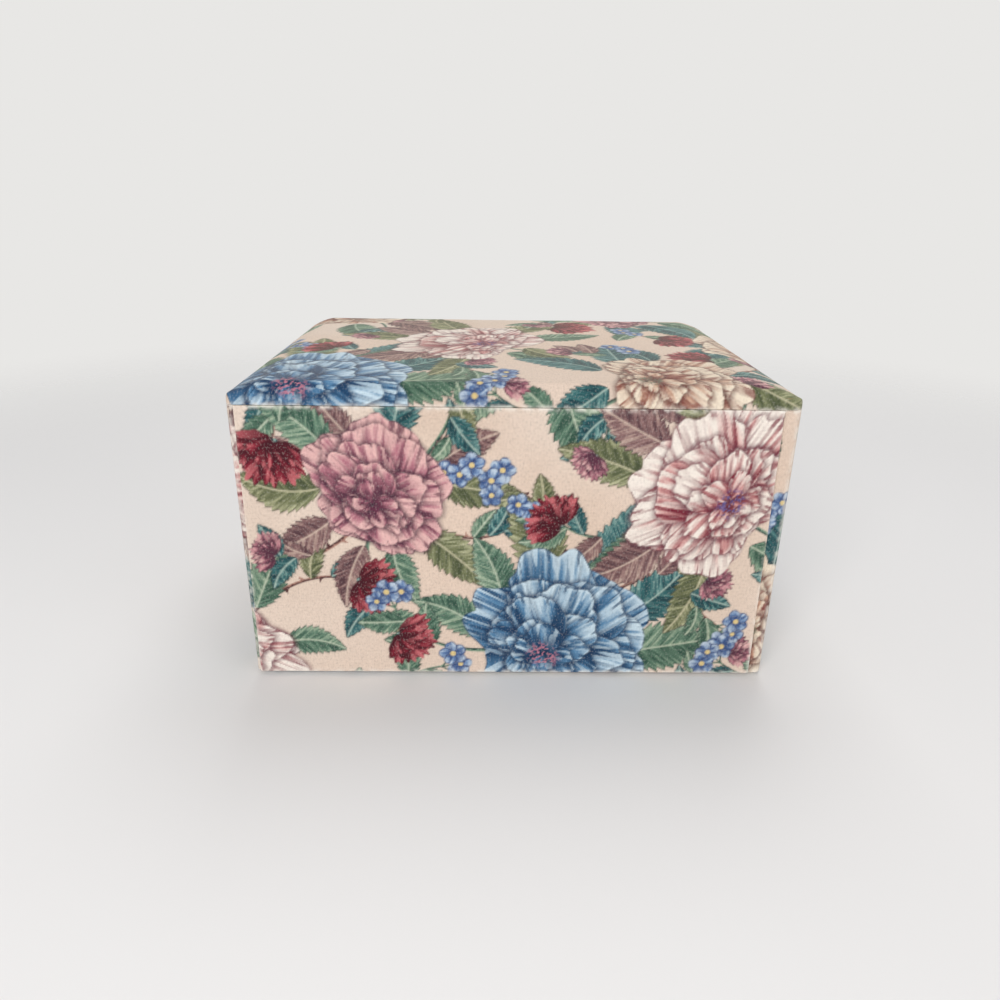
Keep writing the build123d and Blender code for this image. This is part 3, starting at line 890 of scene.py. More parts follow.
@dataclass(frozen=True, eq=False)
class Outline:
    """Stations round a four-sided core, each with its outward way; fans turn the corners."""

    corners: Array
    base: Array
    way: Array
    counts: tuple[int, int]

    @classmethod
    def round_core(cls, corners: Array, pitch: float, fan: int) -> "Outline":
        """Stations along the sides, a pitch apart, and a fan of ways at each corner.

        Args:
            corners: the core's four corners, anticlockwise from the lower left.
            pitch: about how far apart the stations are.
            fan: how many steps turn each corner.

        Returns:
            The outline.
        """
        sides = np.roll(corners, -1, axis=0) - corners
        spans = np.hypot(sides[:, 0], sides[:, 1])
        ways = np.stack((sides[:, 1], -sides[:, 0]), 1) / spans[:, None]
        counts = (max(1, round(spans[0] / pitch)), max(1, round(spans[1] / pitch)))
        base, way = [], []
        for side in range(4):
            share = np.linspace(0, 1, counts[side % 2] + 1)[:, None]
            base.append(corners[side] + share * sides[side])
            way.append(np.repeat(ways[side][None], len(share), 0))
            here, after = ways[side], ways[(side + 1) % 4]
            angle = np.arctan2(here[1], here[0])
            swing = (np.arctan2(after[1], after[0]) - angle) % TURN
            angles = angle + swing * np.arange(1, fan) / fan
            base.append(np.repeat(corners[(side + 1) % 4][None], fan - 1, 0))
            way.append(toward(angles).T)
        return cls(corners, np.concatenate(base), np.concatenate(way), counts)

    def at(self, out: float) -> Array:
        """One ring of the stations.

        Args:
            out: how far outside the core it lies, or, below nought, how far the core is drawn in.

        Returns:
            One row of two for each station.
        """
        if out >= 0:
            return self.base + out * self.way
        middle = self.corners.mean(0)
        half = np.abs(self.corners - middle).min(0)
        return middle + (self.base - middle) * (1 + out / half)

    def core(self) -> Array:
        """The core's own grid, between its corners.

        Returns:
            Its places, rows by columns by two.
        """
        a, b, c, d = self.corners
        across = np.linspace(0, 1, self.counts[0] + 1)[None, :, None]
        along = np.linspace(0, 1, self.counts[1] + 1)[:, None, None]
        return (a * (1 - across) + b * across) * (1 - along) + (d * (1 - across) + c * across) * along


def quarter(radius: float, steps: int) -> Array:
    """A quarter round as rows of outward and downward distance, from level to upright."""
    angle = np.linspace(0, np.pi / 2, steps + 1)
    return radius * np.stack((np.sin(angle), 1 - np.cos(angle)), 1)


def stretch(start: Point, end: Point, steps: int) -> Array:
    """Points of a straight stretch after its start, evenly spaced."""
    share = np.linspace(0, 1, steps + 1)[1:, None]
    return np.array(start) + share * (np.array(end) - np.array(start))


def covered(outline: Outline, top: Array, edge: Array, place: Function | None = None) -> Surface:
    """Join a top over the core to the rings of its edge, and lay both out flat.

    A ring's place on the flat cloth is its distance from the core's rim, measured down the edge.

    Args:
        outline: the stations of the rings.
        top: the core's grid, rows by columns by three.
        edge: the rings, from the core's rim outwards, by stations by three.
        place: turns plan and height into the frame's axes.

    Returns:
        The surface, whose first grid is the top and whose last ring is closed by a flat face.
    """
    steps = np.linalg.norm(np.diff(edge, axis=0), axis=-1)
    reach = np.concatenate((np.zeros((1, steps.shape[1])), np.cumsum(steps, 0)))[..., None]
    flat, core = outline.base[None] + reach * outline.way[None], top[..., :2]
    if place is not None:
        top, edge = place(top), place(edge)
    made = Surface()
    made.add_grid(top, core)
    numbers = made.add_grid(edge, flat, closed=True, flip=True)
    made.caps.append(numbers[-1][::-1])
    return made


@dataclass
class CoveredForm:
    """A form with a level top over a four-sided core, whose edge is a profile carried round it.

    A point of the edge is the core's rim moved outwards and down as the profile says. The
    height above the level top comes from a function of the plan, and fades down the edge.
    """

    outline: Outline
    profile: Array
    top: float
    fade: float
    height: Function

    def surface(self, place: Function | None = None) -> Surface:
        """Build the top and the edge.

        Args:
            place: turns plan and height into the frame's axes.

        Returns:
            The surface, whose first grid is the top.
        """
        core = self.outline.core()
        rows = np.stack([self.outline.at(out) for out, _ in self.profile])
        fading = eased(-self.profile[:, 1], -self.fade, 0)[:, None]
        low, high = self.outline.corners.min(0), self.outline.corners.max(0)
        lift = self.height(np.clip(rows, low, high).reshape(-1, 2)).reshape(rows.shape[:2])
        level = self.top - self.profile[:, 1][:, None] + lift * fading
        lifted = self.top + self.height(core.reshape(-1, 2)).reshape(core.shape[:2])
        return covered(self.outline, raised(core, lifted), raised(rows, level), place)


def rectangle(low: Sequence[float], high: Sequence[float]) -> Array:
    """Four corners, anticlockwise from the lower left."""
    return np.array(((low[0], low[1]), (high[0], low[1]), (high[0], high[1]), (low[0], high[1])), float)


# Shader building

@dataclass(frozen=True, eq=False)
class Value:
    """A shader value, on which arithmetic adds Math nodes."""

    tree: "Shader"
    socket: Socket

    def combined(self, operation: str, first: "Value | float", second: "Value | float") -> "Value":
        """A Math node of two values."""
        node = self.tree.node("ShaderNodeMath", {"operation": operation}, {0: first, 1: second})
        return Value(self.tree, node.outputs[0])

    def __add__(self, other: "Value | float") -> "Value":
        """A sum."""
        return self.combined("ADD", self, other)

    def __radd__(self, other: float) -> "Value":
        """A sum that starts with a number."""
        return self.combined("ADD", other, self)

    def __sub__(self, other: "Value | float") -> "Value":
        """A difference."""
        return self.combined("SUBTRACT", self, other)

    def __rsub__(self, other: float) -> "Value":
        """A difference that starts with a number."""
        return self.combined("SUBTRACT", other, self)

    def __mul__(self, other: "Value | float") -> "Value":
        """A product."""
        return self.combined("MULTIPLY", self, other)

    def __rmul__(self, other: float) -> "Value":
        """A product that starts with a number."""
        return self.combined("MULTIPLY", other, self)

    def sine(self) -> "Value":
        """Its sine."""
        return self.combined("SINE", self, 0.0)

    def ramp(self, low: float, high: float) -> "Value":
        """Ease the value from one bound to the other.

        Args:
            low: where the result is still nought.
            high: where it has come to one.

        Returns:
            The eased value.
        """
        settings = {"interpolation_type": "SMOOTHSTEP"}
        bounds = {"Value": self, "From Min": low, "From Max": high}
        return Value(self.tree, self.tree.node("ShaderNodeMapRange", settings, bounds).outputs[0])


class Shader:
    """The nodes of one material."""

    def __init__(self, name: str) -> None:
        """Start a material with one principled shader.

        Args:
            name: the material's name.
        """
        self.material = bpy.data.materials.new(name)
        self.material.use_nodes = True
        self.tree = self.material.node_tree
        self.tree.nodes.clear()
        self.output = self.tree.nodes.new("ShaderNodeOutputMaterial")
        self.principled = self.tree.nodes.new("ShaderNodeBsdfPrincipled")
        self.tree.links.new(self.principled.outputs[0], self.output.inputs["Surface"])

    def node(self, kind: str, settings: dict, inputs: dict) -> bpy.types.Node:
        """Add a node.

        Args:
            kind: its type.
            settings: its own properties, which are set first.
            inputs: values or links of its sockets, by name or number.

        Returns:
            The node.
        """
        made = self.tree.nodes.new(kind)
        for name, value in settings.items():
            setattr(made, name, value)
        for name, value in inputs.items():
            self.feed(made.inputs[name], value)
        return made

    def feed(self, socket: Socket, value: object) -> None:
        """Link a socket or set what it holds.

        Args:
            socket: an input.
            value: a value or an output to link, or a number or a colour to set.
        """
        source = value.socket if isinstance(value, Value) else value
        if isinstance(source, Socket):
            self.tree.links.new(source, socket)
        else:
            socket.default_value = source

    def object_places(self) -> Socket:
        """Places in the frame, in metres."""
        return self.node("ShaderNodeTexCoord", {}, {}).outputs["Object"]

    def flat_places(self) -> Socket:
        """Places on the flat cloth, in metres."""
        return self.node("ShaderNodeUVMap", {"uv_map": "flat"}, {}).outputs[0]

    def waves(self, axis: int, pitch: float) -> Value:
        """A sine along an axis of the flat cloth, from -1 to 1, one wave to a pitch in millimetres."""
        parts = self.node("ShaderNodeSeparateXYZ", {}, {"Vector": self.flat_places()})
        return (Value(self, parts.outputs[axis]) * (TURN / (pitch * MM))).sine()

    def stretched(self, places: Socket, scale: Sequence[float]) -> Socket:
        """Places scaled along each axis."""
        return self.node("ShaderNodeMapping", {}, {"Vector": places, "Scale": tuple(scale)}).outputs[0]

    def noise(self, places: Socket, scale: float, detail: float = 2.0) -> Value:
        """Smooth noise from 0 to 1, with that many cells in a metre."""
        inputs = {"Vector": places, "Scale": scale, "Detail": detail}
        return Value(self, self.node("ShaderNodeTexNoise", {}, inputs).outputs[0])

    def attribute(self, name: str) -> Value:
        """A number stored on the vertices."""
        node = self.node("ShaderNodeAttribute", {"attribute_name": name}, {})
        return Value(self, node.outputs["Fac"])

    def mixed(self, share: Value | float, first: object, second: object, way: str = "MIX") -> Socket:
        """Two colours mixed by a share of the second, or multiplied by it."""
        settings = {"data_type": "RGBA", "blend_type": way}
        return self.node("ShaderNodeMix", settings, {0: share, 6: first, 7: second}).outputs[2]

    def shaded(self, colour: object, shade: Value) -> Socket:
        """A colour times a value."""
        grey = self.node("ShaderNodeCombineColor", {}, {0: shade, 1: shade, 2: shade}).outputs[0]
        return self.mixed(1.0, colour, grey, "MULTIPLY")

    def bump(self, height: Value, distance: float, strength: float = 1.0) -> None:
        """Raise the surface.

        Args:
            height: the relief, from 0 to 1.
            distance: how high 1 is, in metres.
            strength: how far the relief turns the light.
        """
        inputs = {"Height": height, "Distance": distance, "Strength": strength}
        node = self.node("ShaderNodeBump", {}, inputs)
        self.tree.links.new(node.outputs[0], self.principled.inputs["Normal"])

    def finish(self, **sockets: object) -> Material:
        """Set the principled shader's sockets.

        Args:
            sockets: what each gets, by its name with _ for a space.

        Returns:
            The material.
        """
        for name, value in sockets.items():
            self.feed(self.principled.inputs[name.replace("_", " ")], value)
        return self.material


# Finishes

@dataclass(frozen=True)
class PrintedCotton:
    """Printed canvas: the print, its threads and slubs, dry ink, grime, worn edges with a painted highlight,
    and painted shade between the threads.
    """

    thread: float = 0.84
    slub: float = 0.17
    dry: float = 0.10
    pale_thread: Colour = paint(236, 229, 219)
    grime: Colour = paint(196, 176, 152)

    def material(self) -> Material:
        """Threads cross as the product of two sines, whose dips get painted shade; slubs are noise drawn out
        along each thread.

        Returns:
            The material.
        """
        s = Shader("printed_cotton")
        flat, places = s.flat_places(), s.object_places()
        weave = s.waves(0, self.thread) * s.waves(1, self.thread) * 0.5 + 0.5
        along = s.noise(s.stretched(flat, (1, 0.16, 1)), 1500, 1.0)
        across = s.noise(s.stretched(flat, (0.16, 1, 1)), 1500, 1.0)
        slubs = (along + across) * 0.5
        dots = s.noise(s.stretched(flat, (1, 0.7, 1)), 1150, 4.0)
        stipple = dots.ramp(0.52, 0.66) * self.dry
        printed = s.node("ShaderNodeAttribute", {"attribute_name": "print"}, {}).outputs["Color"]
        # painted shade: the colour darkens by up to 12 % in the dips between threads, where shade would
        # fall; slubs and dots are the yarn's own tone
        shade = 0.97 - (1.0 - weave) * 0.12 + (slubs - 0.5) * self.slub * 2.0
        shade = shade - dots.ramp(0.50, 0.34) * 0.10
        deep = s.node("ShaderNodeGamma", {}, {"Color": printed, "Gamma": 1.13}).outputs[0]
        colour = s.shaded(deep, shade)
        colour = s.mixed(stipple, colour, self.pale_thread)
        stain = s.noise(places, 14, 3.0).ramp(0.46, 0.74) * 0.16
        colour = s.mixed(stain, colour, s.mixed(1.0, colour, self.grime, "MULTIPLY"))
        # painted highlight: edges get the pale thread colour, partly real rubbed wear and partly a painted
        # highlight along the edges
        rub_and_highlight = s.attribute("edge_tone") * s.noise(places, 260, 3.0).ramp(0.36, 0.62)
        colour = s.mixed(rub_and_highlight * 0.75, colour, self.pale_thread)
        rough = 0.52 + slubs * 0.16 + rub_and_highlight * 0.2
        s.bump(weave * 0.55 + slubs * 0.9, 0.00016)
        return s.finish(
            Base_Color=colour,
            Roughness=rough,
            Specular_IOR_Level=0.25,
            Sheen_Weight=0.20,
            Sheen_Roughness=0.32,
            Sheen_Tint=paint(246, 232, 206),
        )


@dataclass(frozen=True)
class Velvet:
    """Short-pile velvet: brushed patches, fine pile and a soft sheen."""

    pile: Colour = paint(140, 60, 70)
    deep: Colour = paint(120, 47, 58)

    def material(self) -> Material:
        """The nap's patches are low noise pulled out along the depth, and the pile is fine noise.

        Returns:
            The material.
        """
        s = Shader("lining_velvet")
        places = s.object_places()
        nap = s.noise(s.stretched(places, (1.0, 0.45, 0.6)), 46, 4.0).ramp(0.34, 0.68)
        pile = s.noise(places, 2600, 2.0)
        colour = s.mixed(nap, self.deep, self.pile)
        colour = s.shaded(colour, 0.72 + pile * 0.56)
        s.bump(pile * 0.6 + nap * 0.25, 0.0003)
        return s.finish(
            Base_Color=colour,
            Roughness=0.86 - nap * 0.12,
            Specular_IOR_Level=0.2,
            Sheen_Weight=0.55,
            Sheen_Roughness=0.35,
            Sheen_Tint=paint(226, 160, 160),
        )


@dataclass(frozen=True)
class Satin:
    """Ribbon satin: fine ribs across, a long soft gloss and firm edges."""

    colour: Colour = paint(206, 160, 154)
    edge: Colour = paint(168, 116, 114)
    rib: float = 0.5

    def material(self) -> Material:
        """Ribs are a sine along the ribbon; the selvedge's share is stored on the vertices.

        Returns:
            The material.
        """
        s = Shader("satin_ribbon")
        ribs = s.waves(1, self.rib) * 0.5 + 0.5
        cloudy = s.noise(s.flat_places(), 240, 2.0)
        colour = s.mixed(s.attribute("edge_tone"), self.colour, self.edge)
        colour = s.shaded(colour, 0.86 + ribs * 0.08 + cloudy * 0.12)
        s.bump(ribs * 0.7 + cloudy * 0.3, 0.00008)
        rough = 0.30 + cloudy * 0.12
        return s.finish(Base_Color=colour, Roughness=rough, Sheen_Weight=0.25, Sheen_Roughness=0.3)


@dataclass(frozen=True)
class Fibres:
    """Boards, card and felt: two tones of matted fibre, coarser or finer."""

    name: str
    light: Colour
    dark: Colour
    scale: float
    relief: float
    sheen: float = 0.0

    def material(self) -> Material:
        """Two noises, one pulled out along X, mix the tones and raise the fibres.

        Returns:
            The material.
        """
        s = Shader(self.name)
        places = s.object_places()
        fibre = s.noise(s.stretched(places, (0.25, 1.0, 1.0)), self.scale, 4.0)
        fleck = s.noise(places, self.scale * 0.6, 3.0).ramp(0.40, 0.66)
        colour = s.mixed(fibre * 0.6 + fleck * 0.4, self.dark, self.light)
        s.bump(fibre * 0.7 + fleck * 0.3, self.relief * MM)
        return s.finish(
            Base_Color=colour,
            Roughness=0.80 + fibre * 0.16,
            Specular_IOR_Level=0.25,
            Sheen_Weight=self.sheen,
            Sheen_Roughness=0.5,
        )


@dataclass(frozen=True)
class Brass:
    """Plated brass: fine drawn scratches and brown tarnish in patches."""

    bright: Colour = paint(224, 190, 120)
    tarnish: Colour = paint(138, 98, 58)

    def material(self) -> Material:
        """Scratches are noise pulled out along X; tarnish is soft noise cut by a ramp.

        Returns:
            The material.
        """
        s = Shader("brass")
        places = s.object_places()
        scratch = s.noise(s.stretched(places, (0.08, 1.0, 1.0)), 5200, 2.0)
        tarnish = s.noise(places, 420, 3.0).ramp(0.48, 0.72)
        colour = s.mixed(tarnish * 0.8, self.bright, self.tarnish)
        s.bump(scratch, 0.00003, 0.6)
        rough = 0.22 + tarnish * 0.25 + scratch * 0.12
        return s.finish(Base_Color=colour, Metallic=1.0, Roughness=rough)


@dataclass(frozen=True)
class Looking:
    """Mirror glass: a bright coating with a few soft smears."""

    silver: Colour = paint(226, 230, 230)
    smeared: Colour = paint(205, 212, 212)

    def material(self) -> Material:
        """Smears are drawn-out noise that only roughens the gloss a little.

        Returns:
            The material.
        """
        s = Shader("mirror_glass")
        smear = s.noise(s.stretched(s.object_places(), (1.0, 0.3, 1.0)), 60, 3.0).ramp(0.5, 0.8)
        colour = s.mixed(smear * 0.25, self.silver, self.smeared)
        return s.finish(Base_Color=colour, Metallic=1.0, Roughness=0.02 + smear * 0.06)


@dataclass(frozen=True, eq=False)
class Finishes:
    """Every finish of the box, made once."""

    cotton: Material
    velvet: Material
    satin: Material
    board: Material
    card: Material
    felt: Material
    brass: Material
    mirror: Material

    @classmethod
    def make(cls) -> "Finishes":
        """Build the materials.

        Returns:
            All of them.
        """
        return cls(
            cotton=PrintedCotton().material(),
            velvet=Velvet().material(),
            satin=Satin().material(),
            board=Fibres("fibreboard", paint(176, 148, 112), paint(128, 100, 70), 900, 0.15).material(),
            card=Fibres("grey_card", paint(196, 190, 178), paint(150, 144, 132), 1200, 0.08).material(),
            felt=Fibres("base_felt", paint(96, 58, 62), paint(58, 32, 38), 1500, 0.25, 0.4).material(),
            brass=Brass().material(),
            mirror=Looking().material(),
        )


@dataclass
class Dressing:
    """A part of the dressed box, which is made in the box's finishes."""

    finishes: Finishes


def dress(piece: Piece, material: Material) -> None:
    """Give a piece or a frame node one material.

    Args:
        piece: what is dressed; slots that it has are kept.
        material: its finish.
    """
    if not piece.data.materials:
        piece.data.materials.append(material)
    for index in range(len(piece.data.materials)):
        piece.data.materials[index] = material


def seat(piece: Piece, body: str, material: Material, slot: str, *nodes: str) -> Piece:
    """Dress a new piece, let it ride on a body and stand for frame nodes.

    Args:
        piece: the piece, in place.
        body: the body that carries it.
        material: its finish.
        slot: the record's name for that finish; not used.
        nodes: the frame nodes that it stands for.

    Returns:
        The piece.
    """
    dress(piece, material)
    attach(piece, body)
    if nodes:
        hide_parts(*nodes)
    log.info("%s: %d vertices on %s", piece.name, len(piece.data.vertices), body)
    return piece


# Case

@dataclass(frozen=True)
class HingeRoom:
    """Room for the hinge leaves between the cloth on the rim and the lid's cover."""

    middle: float = 78.0
    half: float = 13.1
    depth: float = 6.2
    clearance: float = 0.05

    def holds(self, places: Array, back: float) -> Array:
        """Which places lie over or under a leaf, from the back's place along Y."""
        beside = np.abs(np.abs(places[..., 0]) - self.middle) < self.half
        return beside & (places[..., 1] > back - self.depth)


@dataclass
class CasePrint(Dressing):
    """The printed cloth on the case: a strip round the walls, and the panel on the front."""

    print_: Chintz
    room: HingeRoom
    pitch: float = 0.6
    corner: float = 3.2
    corner_steps: int = 13
    sheet: float = 0.8
    edge: float = 0.3
    rim_width: float = 6.8
    lip: float = 0.5
    lap: float = 3.2
    lap_thickness: float = 0.25
    foot_turn: float = 12.8
    hidden_half: float = 112.0
    hidden_pitch: float = 8.0
    rim_reach: float = 0.25
    rim_wear_and_highlight: float = 1.6
    foot_wear_and_highlight: float = 1.8
    corner_wear_and_highlight: float = 1.3
    panel_wear_and_highlight: float = 1.4
    panel_wave: float = 0.10
    panel_rim_inset: Point = (1.4, 1.7)
    strip_cut: Point = (212.0, 96.0)
    panel_cut: Point = (269.0, 99.0)

    def side_profile(self, foot: float, rim: float) -> Array:
        """The strip's closed section, as outward distance from the corner's centre and height.

        Args:
            foot: height of the cloth's underside.
            rim: height of the cloth on the rim.

        Returns:
            Rows from the inner edge under the foot, up the wall, over the rim and back inside.
        """
        r, out, lip = self.edge, self.corner, self.lip
        inner, below = out - self.sheet, out - self.foot_turn
        within = out - self.rim_width - r
        bend = quarter(r, 4)
        foot_bend = np.stack((out - r + bend[:, 0], foot + bend[:, 1]), 1)
        rim_bend = np.stack((out - bend[:, 1], rim - r + bend[:, 0]), 1)
        lip_bend = np.stack((within + lip - bend[:, 0] * lip / r, rim - bend[:, 1] * lip / r), 1)
        return np.concatenate((
            [(below, foot)],
            stretch((below, foot), (out - r, foot), 3),
            foot_bend[1:],
            stretch((out, foot + r), (out, rim - r), round((rim - foot) / self.pitch)),
            rim_bend[1:],
            stretch((out - r, rim), (within + lip, rim), 9),
            lip_bend[1:],
            stretch((within, rim - lip), (within, rim - self.lap), 4),
            [(within + self.lap_thickness, rim - self.lap), (within + self.lap_thickness, rim - self.sheet)],
            [(inner, rim - self.sheet), (inner, foot + self.sheet), (below, foot + self.sheet)],
        ))

    def perimeter(self, low: Array, high: Array) -> tuple[Array, Array, Array]:
        """Stations round the walls from the seam in front, clockwise seen from above.

        Args:
            low: lowest corner of the strip.
            high: its highest corner.

        Returns:
            The stations on the core, their outward ways and their distance along the cloth.
        """
        left, right = low[0] + self.corner, high[0] - self.corner
        front, back = low[1] + self.corner, high[1] - self.corner
        half = self.hidden_half
        stops = (
            (0, front), (-half, front), (left, front), (left, back), (-half, back),
            (half, back), (right, back), (right, front), (half, front), (0, front),
        )
        angles = np.radians((-90, -90, -180, -270, -270, -270, -360, -450, -450))
        pitches = (self.hidden_pitch, *[self.pitch] * 7, self.hidden_pitch)
        before, base, way = angles[0], [], []
        for start, end, angle, pitch in zip(stops, stops[1:], angles, pitches):
            if angle != before:
                turn = np.linspace(before, angle, self.corner_steps + 1)[1:-1]
                base.append(np.repeat(np.array(start, float)[None], len(turn), 0))
                way.append(toward(turn).T)
            count = max(1, round(float(np.hypot(end[0] - start[0], end[1] - start[1])) / pitch))
            base.append(np.linspace(start, end, count + 1))
            way.append(np.repeat(toward(angle)[None], count + 1, 0))
            before = angle
        base, way = np.concatenate(base), np.concatenate(way)
        return base, way, running(base + self.corner * way)

    def side_strips(self) -> None:
        """Build the strip in three lengths that meet on the flat of the back wall."""
        low, high = corners_of("side_cloth")
        high[2] += self.rim_reach
        base, way, run = self.perimeter(low, high)
        profile = self.side_profile(low[2], high[2])
        middle = (base.min(0) + base.max(0)) / 2
        half = (base.max(0) - base.min(0)) / 2
        out = profile[:, 0][:, None, None]
        drawn_in = middle + (base - middle) * (1 + np.minimum(out, 0) / half)
        plan = drawn_in + np.maximum(out, 0) * way
        level = np.repeat(profile[:, 1][:, None], len(base), 1)
        recess = corners_of("right_case_hinge_leaf")[0][2] - self.room.clearance
        level = np.where(self.room.holds(plan, high[1]) & (level > recess), recess, level)
        points = raised(plan, level)
        climb = running(profile) - self.foot_turn
        flat = laid_flat(run, climb)
        # painted highlight: pale bands along the rim and the foot, partly real wear and partly a painted
        # highlight on the rounded edges
        edge_tone = bell(climb - (high[2] - low[2] - 2 * self.edge), self.rim_wear_and_highlight)
        edge_tone = np.maximum(edge_tone, 0.8 * bell(climb, self.foot_wear_and_highlight))
        on_back = (np.abs(base[:, 1] - base[:, 1].max()) < 1e-6) & (way[:, 1] > 0.99)
        one, two = (
            int(np.flatnonzero(on_back & (np.abs(base[:, 0] - x) < 1e-6))[0])
            for x in (-self.hidden_half, self.hidden_half)
        )
        spans = {
            "left_side_cloth": (0, one + 1),
            "back_cloth": (one, two + 1),
            "right_side_cloth": (two, len(base)),
        }
        for name, (start, end) in spans.items():
            made = Surface()
            section = np.concatenate((points[:, start:end], points[:1, start:end]))
            places = np.concatenate((flat[:, start:end], flat[:1, start:end]))
            numbers = made.add_grid(section, places, flip=True)
            made.caps.extend((numbers[:-1, 0][::-1], numbers[:-1, -1]))
            piece = made.build(name, outward=False)
            self.print_on(piece, made.flat_places, self.strip_cut)
            past = (high - low)[:2] / 2 - np.abs(vertices_of(piece)[:, :2] - (high + low)[:2] / 2)
            # painted highlight: a pale band down the rounded corners, partly wear and partly a painted
            # highlight
            corner = 0.7 * bell(np.hypot(past[:, 0], past[:, 1]) - 0.4 * self.corner, self.corner_wear_and_highlight)
            by_height = np.interp(made.flat_places[:, 1], climb, edge_tone)
            set_values(piece, "edge_tone", np.maximum(by_height, corner))
            seat(piece, "case", self.finishes.cotton, "printed_cloth", "side_cloth")

    def print_on(self, piece: Piece, flat: Array, cut: Point) -> None:
        """Print the chintz on a piece, cut from a place on the cloth."""
        set_colours(piece, "print", self.print_.colours(flat, cut, self.pitch))

    def front_panel(self) -> None:
        """Build the panel: a four-sided face with rounded edges that turn back to the side cloth."""
        low, high = corners_of("front_cloth")
        high[2] += self.rim_reach
        e = self.edge
        corners = np.array((
            (low[0] + e, low[2] + e),
            (high[0] - e, low[2] + e),
            (high[0] - self.panel_rim_inset[1] - e, high[2] - e),
            (low[0] + self.panel_rim_inset[0] + e, high[2] - e),
        ))
        outline = Outline.round_core(corners, self.pitch, 3)
        depth = high[1] - low[1]
        profile = np.concatenate((quarter(e, 4), stretch((e, e), (e, depth), 2), [(0.2, depth)]))

        def height(plan: Array) -> Array:
            """Faint waves of the glued cloth."""
            return self.panel_wave * (mottle(plan[:, 0] / 34, plan[:, 1] / 26, 5) - 0.5)

        def upright(points: Array) -> Array:
            """Plan across and up, and height towards the front."""
            return np.stack((points[..., 0], -points[..., 2], points[..., 1]), -1)

        form = CoveredForm(outline, profile, -low[1], depth, height)
        made = form.surface(upright)
        piece = made.build("front_panel_cloth")
        self.print_on(piece, made.flat_places, self.panel_cut)
        # painted highlight: a pale band round the panel's edges, partly wear and partly a painted highlight
        # on its rounded rim
        near = np.minimum(made.flat_places - corners.min(0), corners.max(0) - made.flat_places).min(1)
        set_values(piece, "edge_tone", bell(np.maximum(near + 2 * e, 0), self.panel_wear_and_highlight))
        seat(piece, "case", self.finishes.cotton, "printed_cloth", "front_cloth")
        across, tall = (float(x) * MM for x in np.ptp(corners, axis=0) + 2 * depth)

    def build(self) -> None:
        """Build the strip and the panel."""
        self.side_strips()
        self.front_panel()


